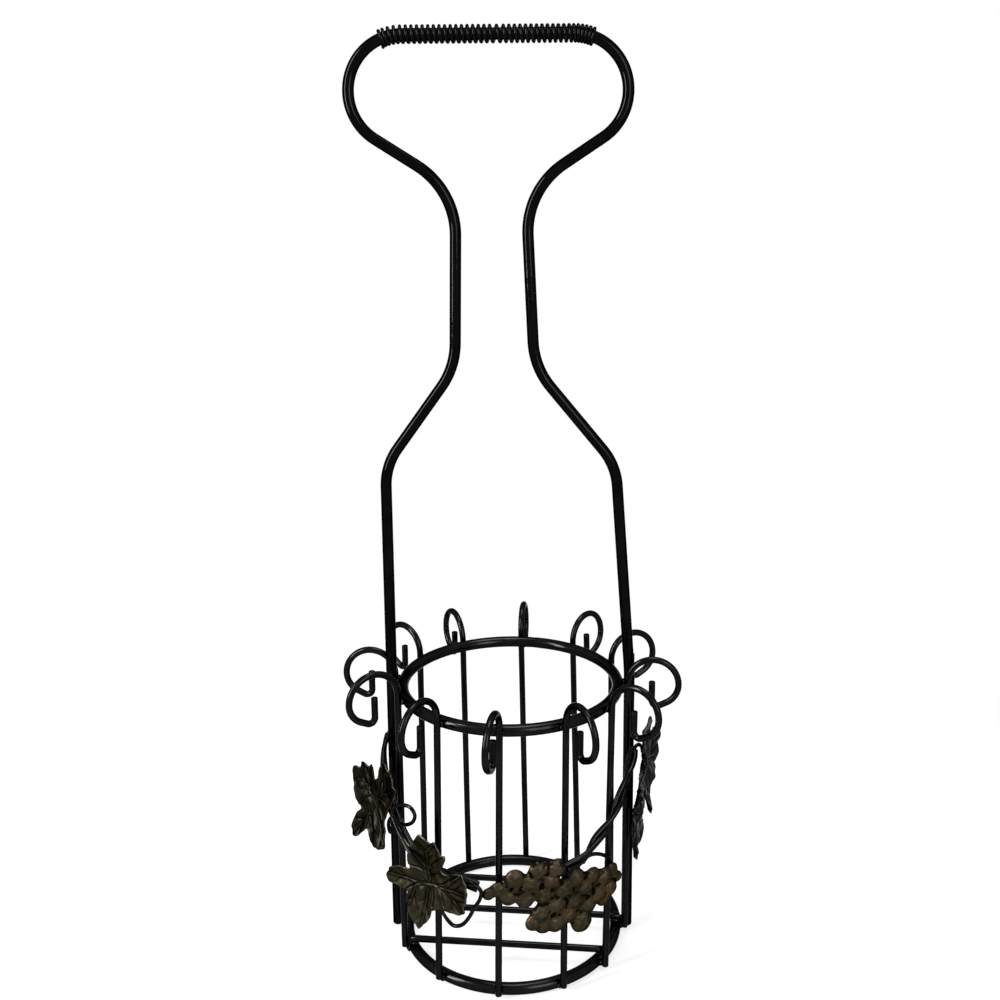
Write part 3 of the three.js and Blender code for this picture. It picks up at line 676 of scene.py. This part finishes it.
# A darker, greyer copy for the right leaves: painted shade, as they are seen edge-on.
painted_shade_right_leaf_patina = patina_with_painted_light("painted_shade_right_leaf_patina", (0.003, 0.003, 0.003),
                                 (0.0140, 0.0140, 0.0136), (0.045, 0.045, 0.044), 0.8, 0.16,
                                 edge=(0.5, 0.5, 0.5))
grape_patina = patina_with_painted_light("grape_patina", (0.0034, 0.0030, 0.0020), (0.0290, 0.0238, 0.0142),
                             (0.041, 0.034, 0.024), 0.9, 0.40, patch_mm=12)
print("four patinas: for the front leaf, the left one, the two right ones and the grapes")

# %% [markdown]
# ## Stamped vine leaves
#
# All four leaves come from one die. A leaf could be sculpted, but what a die does can be told in
# numbers. The outline is a smooth line through the tips and notches, and the sheet inside it is
# a net of spokes and rings. Each vertex's height adds up raised lobes, an edge that curls
# outwards, a ridge along each main vein with the blade puffed up beside it, side veins pressed
# in, creases between the lobes, and small dents. The two leaves at the right are also folded.

# %% The leaf's outline and veins
SHEET, LEAF_RELIEF, LEAF_CUP = 1.0, 1.6, 1.4
leaf_outline = [
    (110, 41.3), (128, 34.4), (144, 29), (158, 23.5), (166, 33), (176, 43), (-174, 48.4),
    (-167, 47), (-160, 36.8), (-151, 29), (-140, 36), (-125, 42.2), (-112, 45.3), (-106, 47),
    (-100, 40.7), (-93, 33.5), (-88, 26), (-79, 22.7), (-55, 23), (-37, 28.2), (-24, 36.6),
    (-16, 40.5), (-5, 40.4), (10, 43.6), (23, 46.7), (31, 46), (37, 38.8), (42, 26.3), (53, 25),
    (57, 33.5), (60, 39.3), (66, 38.6), (71, 41.5), (79, 45.6), (85, 42.8), (89, 44.5), (96, 48.4)]
# Veins in the front leaf's plane, in millimetres from its middle.
leaf_veins = [
    [(0, 0), (-0.8, 7.8), (-1.1, 16.1)], [(-1.1, 16.1), (-6.3, 18.7)], [(-1.1, 16.1), (4.1, 22)],
    [(-0.8, 7.8), (10.4, 18.3)], [(0, 0), (7.7, 0.8), (18.7, 12.2)], [(7.7, 0.8), (22.5, 3.5)],
    [(7.7, 0.8), (19.1, -6.2)], [(0, 0), (-2.1, -4.8), (-5.2, -22)],
    [(0, 0), (-7.2, -1.4), (-24.1, -1.9)], [(-7.2, -1.4), (-8.3, -2.7), (-12.8, -14)]]
side_veins = [
    [(-0.9, 10.5), (-6.5, 13.2)], [(-0.95, 12), (3.6, 17)], [(-0.4, 4), (5.4, 7.8)],
    [(4.2, 12.5), (5.6, 19)], [(12.2, 5.3), (12.8, 11)], [(13, 1.7), (19.5, 8)],
    [(13.5, -2.6), (20.8, 0)], [(11.5, -1.3), (13, -7)], [(-3.2, -10.5), (-0.6, -16.5)],
    [(-4.2, -16), (-8.3, -20)], [(-10.4, -8), (-6.8, -15)], [(-11.4, -11), (-15.6, -13)],
    [(-13, -1.6), (-18.6, 2.6)], [(-16, -1.7), (-20, -5.2)], [(-2.6, -7.6), (-7, -11)]]
# Creases between the lobes, where the die pressed the sheet in.
leaf_creases = [
    [(-13.8, -6.7), (-9, -2.5), (-4.1, -0.1), (0.7, 1.2)],
    [(2.3, 1.3), (7.7, 3.4), (12.3, 7.4), (17, 11.3)],
    [(0.7, 9.5), (4.1, 12.7), (7.1, 15.4), (9.5, 17.7)],
    [(1.2, -10.1), (2, -6.6), (2, -3.5), (1.3, -1.1)],
    [(8.5, -7.2), (7.6, -3.6), (6.3, -0.5), (3.8, 1)],
    [(-13.9, 5.1), (-10, 6.6), (-5.8, 7.1), (-1.6, 6.2)]]


def distance_to(polylines, points):
    nearest = np.full(len(points), 1e9)
    for line in polylines:
        for a, b in zip(line, line[1:]):
            a, b = np.array(a, float), np.array(b, float)
            t = np.clip(((points - a) @ (b - a)) / ((b - a) @ (b - a)), 0, 1)[:, None]
            nearest = np.minimum(nearest, np.linalg.norm(points - a - t * (b - a), axis=1))
    return nearest


# %% The leaf's net
SPOKES, NET_RINGS = 320, 30


def leaf_edge():
    corners = [around(degrees, 0, reach * VINE_UNIT) for degrees, reach in leaf_outline]
    line = smooth_line(corners, closed=True)
    return evenly(np.vstack([line, line[:1]]), SPOKES + 1)[:-1, :2]


def leaf_net(seed):
    """The net's spots in the leaf's plane, the height that its lobes and its cupped shape give
    them, and how far out each is (0 to 1)."""
    edge = leaf_edge()
    reach = np.linalg.norm(edge, axis=1)
    crest_of_lobe = (reach - reach.min()) / (reach.max() - reach.min()) - 0.5
    # A stamped edge is finely notched along its outline.
    arc = np.linspace(0, 1, SPOKES, endpoint=False)
    notch = (1 + 0.010 * np.sin(arc * 2 * np.pi * 34 + seed)
             + 0.008 * np.sin(arc * 2 * np.pi * 21 + 2 * seed))
    shares = np.linspace(0, 1, NET_RINGS + 1)[1:, None] ** 0.9
    height = LEAF_RELIEF * crest_of_lobe * shares + LEAF_CUP * shares ** 2
    spots = edge * shares[..., None] * (1 + (notch - 1) * shares ** 8)[..., None]
    return (np.vstack([np.zeros((1, 2)), spots.reshape(-1, 2)]), np.append(0, height),
            np.append(0, np.repeat(shares, SPOKES)))


def net_faces(count):
    """Faces of the front, of the back, which is turned over, and of the edge between them."""
    rings = 1 + np.arange(NET_RINGS * SPOKES).reshape(NET_RINGS, SPOKES)
    nexts = np.roll(rings, -1, axis=1)
    squares = np.stack([rings[:-1], rings[1:], nexts[1:], nexts[:-1]], axis=2).reshape(-1, 4)
    front = [(0, a, b) for a, b in zip(rings[0], nexts[0])] + squares.tolist()
    back = [[count + corner for corner in (face[0], *face[:0:-1])] for face in front]
    return front + back + [(a, count + a, count + b, b) for a, b in zip(rings[-1], nexts[-1])]


# %% The leaf's relief
def near(distance, width):
    """1 where distance is 0, falling to 0 over about twice the width."""
    return np.exp(-(distance / width) ** 2)


def noise_over(spots, size_mm, seed):
    return np.array([noise.noise(Vector((x / size_mm, y / size_mm, seed))) for x, y in spots])


def carry_patina_and_painted_light(piece, front, back_share):
    """Gives every vertex its number for the patina, with its painted shade and highlight.
    The back is duller than the front.
    """
    layer = piece.data.attributes.new("crest", "FLOAT", "POINT")
    values = np.concatenate([front, back_share * front])
    layer.data.foreach_set("value", values.astype(np.float32))


def leaf_piece(name, size, seed, folded):
    spots, surface, out = leaf_net(seed)
    main, side, crease = (distance_to(lines, spots)
                          for lines in (leaf_veins, side_veins, leaf_creases))
    dents, ripple = noise_over(spots, 4.2, seed * 3.7), noise_over(spots, 1.6, seed * 1.7)
    # Heights and widths are in millimetres. The veins fade out before the edge.
    fade = 1 - np.clip((out - 0.93) / 0.07, 0, 1)
    veins = 0.34 * near(main, 0.26) - 0.30 * near(side, 0.28)
    puffed = (1 - near(main, 2.4)) + 0.34 * (1 - near(side, 1.3))
    surface = surface + veins * fade + puffed * 0.8 + 0.28 * dents + 0.07 * ripple
    surface += 0.22 * near(crease - 0.9, 0.5) - 0.45 * near(crease, 0.4)
    direction = np.arctan2(spots[:, 1], spots[:, 0])
    surface += folded * (out ** 1.3 * (0.5 + 0.5 * np.sin(5 * direction + 2.2 * seed))
                         + 0.7 * (1 - np.exp(-main / 2.4)) * np.minimum(out * 3, 1))
    half = SHEET / 2 * np.where(out > 0.985, 0.55, 1.0)
    vertices = np.vstack([np.column_stack([surface + side_of * half, spots * size])
                          for side_of in (1, -1)])
    piece = mesh_object(name, vertices * MM, net_faces(len(spots)))
    # The rim gets a painted highlight along the leaf's edge.
    rim = np.clip((out - 0.95) / 0.05, 0, 1)
    # The patina's number, partly rubbed patina and partly painted light: painted highlight on the
    # main veins and beside the creases, painted shade beside the main veins, in the side veins and
    # in the creases.
    patina_and_painted_light = (0.38 + 0.28 * near(main, 0.22) - 0.3 * near(side, 0.35)
             - 0.34 * near(main - 0.75, 0.45) + 0.55 * rim + 0.18 * dents
             + 0.3 * near(crease - 0.75, 0.3) - 0.5 * near(crease, 0.35))
    carry_patina_and_painted_light(piece, np.clip(patina_and_painted_light, 0, 1), 0.25)
    return piece


# %% [markdown]
# ## Leaves on the vine
#
# One leaf hangs at the left leg, one in front, and two stand at the right leg, seen edge-on. Each
# could be placed by hand. Here numbers turn its mesh in its own plane, tip it, face it outwards
# and carry it to its place.

# %% Leaves on the vine
LEAF_SEAT = STEM_RADIUS + STEM_DEPTH + WELD_GAP + SHEET / 2 + LEAF_RELIEF / 2
BESIDE_LEG_SEAT = LEG_RADIUS + HANDLE_ROD / 2 + WELD_GAP + SHEET / 2 + LEAF_RELIEF / 2
# The left and the right leaves take darker copies of the front leaf's patina: painted shade.
leaves = {  # finish, fold, angle, height, seat, out, faces, tipped, turned, size
    "leaf_left": (painted_shade_left_leaf_patina, 0, 204.5, 42.6, LEAF_SEAT, 1, 224, 13, 52, 0.86),
    "leaf_front": (leaf_patina, 0, 238.6, -2.2, LEAF_SEAT, 0, 235, -2, 0, 1.0),
    "leaf_right_upper": (painted_shade_right_leaf_patina, 1.7, 348, 68, BESIDE_LEG_SEAT, 1.1, 345, 5, -6, 0.92),
    "leaf_right_lower": (painted_shade_right_leaf_patina, 1.7, 353, 16, BESIDE_LEG_SEAT, -0.5, 349, -5, 160, 0.95),
}


def moved_to(angle, height, radius):
    return Matrix.Translation(Vector(around(angle, VINE_HEIGHT + height * VINE_UNIT, radius) * MM))


def turned_by(degrees, axis):
    return Matrix.Rotation(math.radians(degrees), 4, axis)


for seed, (name, values) in enumerate(leaves.items()):
    finish, fold, angle, height, seat, out, faces_to, tipped, turned, size = values
    piece = leaf_piece(f"{name}_stamped", size, seed + 1, fold)
    place = moved_to(angle, height, seat + out * STRAND_WIRE)
    piece.data.transform(place @ turned_by(faces_to, "Z") @ turned_by(-tipped, "Y")
                         @ turned_by(turned, "X"))
    finish_piece(piece, finish, "leaf_patina", name)
    print(name, len(piece.data.polygons), "faces")

# %% [markdown]
# ## A stalk
#
# The upper right leaf stands out from the cage, above the end of the right stem. A straight pin
# would join the two, but a short piece of the tendrils' wire, bent over like a crook, grows out
# of the stem as a stalk does. The CAD part has no such piece, so it stands for no node.

# %% Stalk of the upper right leaf
leaf_out = (BESIDE_LEG_SEAT - STEM_RADIUS) / STRAND_WIRE + leaves["leaf_right_upper"][5]
stalk_line = vine_line([(344.6, 80, -0.1), (346, 84.4, 0.1), (347.6, 86, 0.45 * leaf_out),
                        (348.6, 83, 0.85 * leaf_out), (349, 77, leaf_out)], STEM_RADIUS, 40)
painted_wire("leaf_right_upper_stalk", [], stalk_line, TENDRIL_WIRE, 12)
print(f"the stalk reaches out by {leaf_out * STRAND_WIRE:.1f} mm")

# %% [markdown]
# ## The bunch of grapes
#
# The bunch is one stamping too: a crowd of bumps pressed into a sheet. It could be joined from
# balls, but a die leaves shallow valleys, not deep gaps. So a blend of the grapes' circles gives
# the sheet's outline, and a blend of their domes over a raised ground gives its height. A fine
# net is cut to the outline, with the holes between grapes filled, and its edge is moved onto it.
# Noise adds soft lumps, and pits in the valleys.

# %% Grapes
GRAPE_FLATNESS, BUNCH_BEND = 0.75, 1.5
BUNCH_ANGLE, BUNCH_RISE = 292.6, -14.9
BUNCH_SEAT = CAGE_OUTSIDE + WELD_GAP
# The outline is blended over WEB_REACH and drawn in by a part of it.
WEB_REACH, DRAWN_IN, WEB_HEIGHT, NET_STEP = 0.9, 0.45, 2.5, 0.3
grapes = [  # across, up, radius
    (-61.8, 9.3, 5.9), (-53, 13.9, 7.4), (-44.5, 6.1, 8.2), (-39.1, 23.5, 9), (-30.1, 2.2, 8.4),
    (-25.6, 17.2, 8.4), (-18.6, 28.2, 9.2), (-2, 27.2, 9.6), (-13.7, 4.1, 8.8), (-6.9, 15.8, 8.4),
    (-16.1, -12.6, 9), (-23.1, -21, 7.8), (-14.1, -24.9, 8), (-2.6, -25.4, 8.8), (-2.5, -7.8, 8.6),
    (4.6, 5.8, 8.2), (8.7, -19.8, 8.8), (21.9, -30.1, 11), (14.7, -8.3, 8.6), (16.5, 13.4, 8.8),
    (28.5, -16.9, 9), (25.9, 1.9, 8.4), (33.1, 9.8, 8.4), (40.3, -9.6, 9), (46.4, 3.9, 9.2),
    (52.9, -9.8, 8.8), (56.5, 6.4, 6.8), (63.4, -3.1, 5.5), (45.3, -18.2, 6.8)]
circles = np.array(grapes) * VINE_UNIT


def depth_inside(spots):
    """How far each spot lies inside the blended outline, in millimetres; negative outside."""
    away = np.linalg.norm(spots[:, None] - circles[:, :2], axis=2) - circles[:, 2]
    return WEB_REACH * np.log(np.exp(-away / WEB_REACH).sum(axis=1)) - DRAWN_IN * WEB_REACH


def bumps(spots):
    """The height of the domes alone, and how near each spot is to the crest of one (0 to 1)."""
    away = np.linalg.norm(spots[:, None] - circles[:, :2], axis=2) / circles[:, 2]
    crest = np.sqrt(np.clip(1 - away ** 2, 0, 1))
    return (crest * circles[:, 2] * GRAPE_FLATNESS).max(axis=1), crest.max(axis=1)


# %% The bunch's net
def without_holes(inside):
    """The same mask of a net with the holes that don't reach its edge filled."""
    outside = np.ones_like(inside)
    outside[1:-1, 1:-1] = False
    while True:
        beside = [np.roll(outside, step, axis) for axis in (0, 1) for step in (-1, 1)]
        grown = np.any(beside, axis=0) & ~inside | outside
        if (grown == outside).all():
            return ~outside
        outside = grown


def onto_outline(spots, rounds=6, probe=0.01, least_slope=0.05):
    """The same spots, moved onto the outline by the slope of their depth."""
    for _ in range(rounds):
        depth = depth_inside(spots)
        slope = np.stack([(depth_inside(spots + step) - depth) / probe
                          for step in np.eye(2) * probe], axis=1)
        steepness = np.maximum((slope ** 2).sum(axis=1), least_slope)
        spots = spots - slope * (depth / steepness)[:, None]
    return spots


def at_corners(grid):
    """The values of a grid at the four corners of each of its squares."""
    return np.stack([grid[:-1, :-1], grid[1:, :-1], grid[1:, 1:], grid[:-1, 1:]], axis=2)


def bunch_net(margin=6):
    """Spots of a square net inside the outline, its squares, the sides of squares along its
    border, and the spots there, which are moved onto the outline."""
    low, high = circles[:, :2].min(axis=0) - margin, circles[:, :2].max(axis=0) + margin
    xs, ys = (np.arange(a, b, NET_STEP) for a, b in zip(low, high))
    spots = np.stack(np.meshgrid(xs, ys, indexing="ij"), axis=2).reshape(-1, 2)
    inside = without_holes(depth_inside(spots).reshape(len(xs), len(ys)) > 0)
    numbers = np.arange(inside.size).reshape(inside.shape)
    squares = at_corners(numbers)[at_corners(inside).all(axis=2)]
    used, squares = np.unique(squares, return_inverse=True)
    squares = squares.reshape(-1, 4).tolist()
    sides = dict.fromkeys(side for corners in squares
                          for side in zip(corners, corners[1:] + corners[:1]))
    border = [(a, b) for a, b in sides if (b, a) not in sides]
    rim = sorted({a for a, _ in border})
    spots = spots[used]
    spots[rim] = onto_outline(spots[rim])
    return spots, squares, border, rim


bunch_spots, squares, border, rim = bunch_net()
print("the bunch's net has", len(bunch_spots), "spots and", len(squares), "squares")

# %% The bunch's relief
# The ground rises from the edge over GROUND_RISE, and soft is how far domes blend into it.
GROUND_RISE, soft = 2.2, 0.32
edge_depth = np.array([np.linalg.norm(bunch_spots[rim] - spot, axis=1).min()
                       for spot in bunch_spots])
domes, dome = bumps(bunch_spots)
ground = WEB_HEIGHT * np.sqrt(1 - (1 - np.clip(edge_depth / GROUND_RISE, 0, 1)) ** 2)
blended = soft * np.log(np.exp(ground / soft) + np.exp(domes / soft)) - soft * math.log(2)
lumps = noise_over(bunch_spots, 1.9, 2.1) + 0.5 * noise_over(bunch_spots, 0.8, 5.2)
pits = np.clip((noise_over(bunch_spots, 2.1, 9.4) - 0.2) / 0.25, 0, 1)
pits *= np.clip((0.86 - dome) / 0.4, 0, 1)
inner = np.clip(edge_depth / 1.2, 0, 1)
front_height = np.maximum(blended + (0.30 * lumps - 1.2 * pits) * inner, 0.35 + 0.2 * inner)
back_height = np.clip(front_height - SHEET * (0.4 + 0.6 * inner), 0, None)
back_height = np.minimum(back_height, front_height - 0.3)
vertices = np.vstack([np.column_stack([bunch_spots, height])
                      for height in (front_height, back_height)])
count = len(bunch_spots)
faces = squares + [[count + c for c in reversed(corners)] for corners in squares]
faces += [(b, a, count + a, count + b) for a, b in border]
print(f"bunch: {len(faces)} faces, highest {front_height.max():.2f} mm")

# %% Bunch bent round the cage
bend = BUNCH_BEND * BUNCH_SEAT
bent = vertices[:, 0] / bend
radii = bend + vertices[:, 2]
across_bunch, out_of_bunch = radii * np.sin(bent), radii * np.cos(bent) - bend
bent_vertices = np.column_stack([out_of_bunch, across_bunch, vertices[:, 1]])
bunch = mesh_object("grape_bunch_stamped", bent_vertices * MM, faces)
# The patina's number: lighter on the grapes' crests, as wiped patina and painted highlight, and
# darker in the pits, as rubbed-in black and painted shade.
carry_patina_and_painted_light(bunch, np.clip(0.16 + 0.55 * dome ** 1.3 + 0.28 * lumps - 0.8 * pits, 0, 1), 0.2)
bunch.data.transform(moved_to(BUNCH_ANGLE, BUNCH_RISE, BUNCH_SEAT) @ turned_by(BUNCH_ANGLE, "Z"))
finish_piece(bunch, grape_patina, "grape_patina", "grape_bunch")

# %% [markdown]
# ## Welds
#
# Small dabs of weld under the paint join the wires. A ball would do from afar, but a real dab
# fills the corner between two round wires. So each is a flattened lump, pushed in and out by
# noise, and all of them ride as one piece.

# %% Weld dabs
LUMPINESS = 0.16
# Half of a dab's extent across, outwards and up, where a wire crosses another.
UPRIGHT_DAB, LEG_DAB, FLOOR_DAB = (2.3, 0.95, 1.5), (2.7, 1.2, 1.7), (2.0, 1.7, 0.8)
weld_mesh = bmesh.new()


def weld(centre, outward, extent, seed):
    out, up = Vector(outward).normalized(), Vector((0, 0, 1))
    across = up.cross(out).normalized()
    basis = Matrix((across, out, up)).transposed().to_4x4()
    made = bmesh.ops.create_icosphere(weld_mesh, subdivisions=3, radius=1)
    for vertex in made["verts"]:
        lump = 1 + LUMPINESS * noise.noise(vertex.co * 1.7 + Vector((seed * 3.1, 0, 0)))
        spot = Vector(vertex.co) * lump
        spot = Vector([s * e for s, e in zip(spot, extent)])
        vertex.co = (basis @ spot + Vector(centre)) * MM


contact = RING_OUTSIDE + WELD_GAP / 2
on_floor = BOTTOM_RING + RING_WIRE / 2 + WELD_GAP / 2
half_way_up = (TOP_RING - BOTTOM_RING) / 2
for i, (_, leans, _, _) in enumerate(upright_places):
    beside = math.degrees(half_way_up * math.tan(math.radians(leans)) / UPRIGHT_RADIUS)
    for k, height in enumerate((BOTTOM_RING, TOP_RING)):
        angle = upright_angle(i) + beside * (2 * k - 1)
        weld(around(angle, height, contact), around(angle, 0, 1), UPRIGHT_DAB, i * 2 + k)
for side, angle in enumerate((0, 180)):
    for k, height in enumerate((BOTTOM_RING, TOP_RING)):
        weld(around(angle, height, contact), around(angle, 0, 1), LEG_DAB, 40 + side * 2 + k)
for k, spot in enumerate(floor_ends):
    weld(np.append(spot[:2], on_floor), spot, FLOOR_DAB, 50 + k)
weld_data = bpy.data.meshes.new("weld_dabs")
weld_mesh.to_mesh(weld_data)
weld_mesh.free()
weld_data.shade_smooth()
finish_piece(add_object("weld_dabs", weld_data), enamel, "black_paint")
print("weld dabs:", 2 * UPRIGHT_COUNT + 4 + len(floor_ends))

# %% [markdown]
# ## Floor, light and camera
#
# The photograph has a plain white ground, but a white sheet would show a horizon. So the floor is
# pale only under the carrier, where it takes the wires' soft shadow, and farther out it turns as
# white as the sky. A tall narrow light at the left, a wider one right of the camera and one
# overhead draw the thin lines of light on the wires. The camera was measured from the rings, the
# uprights and the handle.

# %% Floor
# The floor glows white in full from WHITE_BEGINS outwards, and by NEAR_GLOW at the carrier.
FLOOR_HALF, SHADOW_ENDS, WHITE_BEGINS, NEAR_GLOW = 6, 0.08, 0.45, 0.7


def seen_directly(nodes):
    """1 for rays from the camera, or from it by way of a reflection or a glass, else 0."""
    path = nodes.new("ShaderNodeLightPath")
    total = path.outputs["Is Camera Ray"]
    for kind in ("Is Glossy Ray", "Is Transmission Ray"):
        total = add_node(nodes, "Math", {0: total, 1: path.outputs[kind]}, 0, operation="MAXIMUM")
    return total


material, nodes, shader = new_material("pale_floor")
put((0.86, 0.86, 0.86), shader.inputs["Base Color"])
put(0.9, shader.inputs["Roughness"])
put(0.0, shader.inputs["Specular IOR Level"])
place = add_node(nodes, "TexCoord", {}, "Object")
distance = add_node(nodes, "VectorMath", {0: place}, "Value", operation="LENGTH")
far = add_node(nodes, "MapRange", {"Value": distance, "From Min": SHADOW_ENDS,
                                   "From Max": WHITE_BEGINS, "To Min": NEAR_GLOW}, "Result")
share = add_node(nodes, "Math", {0: far, 1: seen_directly(nodes)}, 0, operation="MULTIPLY")
glow = add_node(nodes, "Emission", {"Color": (1, 1, 1)}, "Emission")
mixed = add_node(nodes, "MixShader", {"Fac": share, 1: shader.outputs["BSDF"], 2: glow}, "Shader")
put(mixed, nodes["Material Output"].inputs["Surface"])

edges = (-FLOOR_HALF, 0, FLOOR_HALF)
floor = mesh_object("studio_floor", [(x, y, 0) for y in edges for x in edges],
                    [(k, k + 1, k + 4, k + 3) for k in (0, 1, 3, 4)])
floor.data.materials.append(material)

# %% Sky
SKY_LIGHT = 0.45
world = bpy.data.worlds.new("white_studio")
bpy.context.scene.world = world
world.use_nodes = True
sky = world.node_tree.nodes
put((1, 1, 1), sky["Background"].inputs["Color"])
strength = add_node(sky, "MapRange", {"Value": seen_directly(sky), "To Min": SKY_LIGHT}, "Result")
put(strength, sky["Background"].inputs["Strength"])
print("the sky is white to the eye and lights the carrier by", SKY_LIGHT)

# %% Lights
lights = {  # place, aimed at, width, height, watts
    "light_left": ((-0.83, -0.52, 0.62), (0, 0, 0.28), 0.15, 0.85, 24.0),
    "light_right": ((0.55, -0.95, 0.62), (0, 0, 0.25), 0.45, 0.7, 9.0),
    "light_above": ((0.1, 0.05, 1.25), (0, 0, 0.2), 0.5, 0.5, 11.0),
}
for name, (place, target, width, height, watts) in lights.items():
    data = bpy.data.lights.new(name, "AREA")
    data.shape = "RECTANGLE"
    data.size, data.size_y, data.energy = width, height, watts
    light = add_object(name, data)
    light.location = place
    light.rotation_euler = (Vector(target) - Vector(place)).to_track_quat("-Z", "Y").to_euler()
print(len(lights), "lights")

# %% Camera
camera_data = bpy.data.cameras.new("camera")
camera_data.lens, camera_data.sensor_width = 40.22, 36.0
camera_data.shift_x, camera_data.shift_y = -0.0241, -0.0884
camera_data.clip_start, camera_data.clip_end = 0.01, 50
camera = add_object("camera", camera_data)
camera_place = (0.016327, -0.511713, 0.354073)
yaw, pitch, roll = -1.001, 10.071, -0.298
camera.matrix_world = (Matrix.Translation(camera_place) @ turned_by(-yaw, "Z")
                       @ turned_by(90 - pitch, "X") @ turned_by(roll, "Z"))
bpy.context.scene.camera = camera
bpy.context.scene.view_settings.view_transform = "Standard"
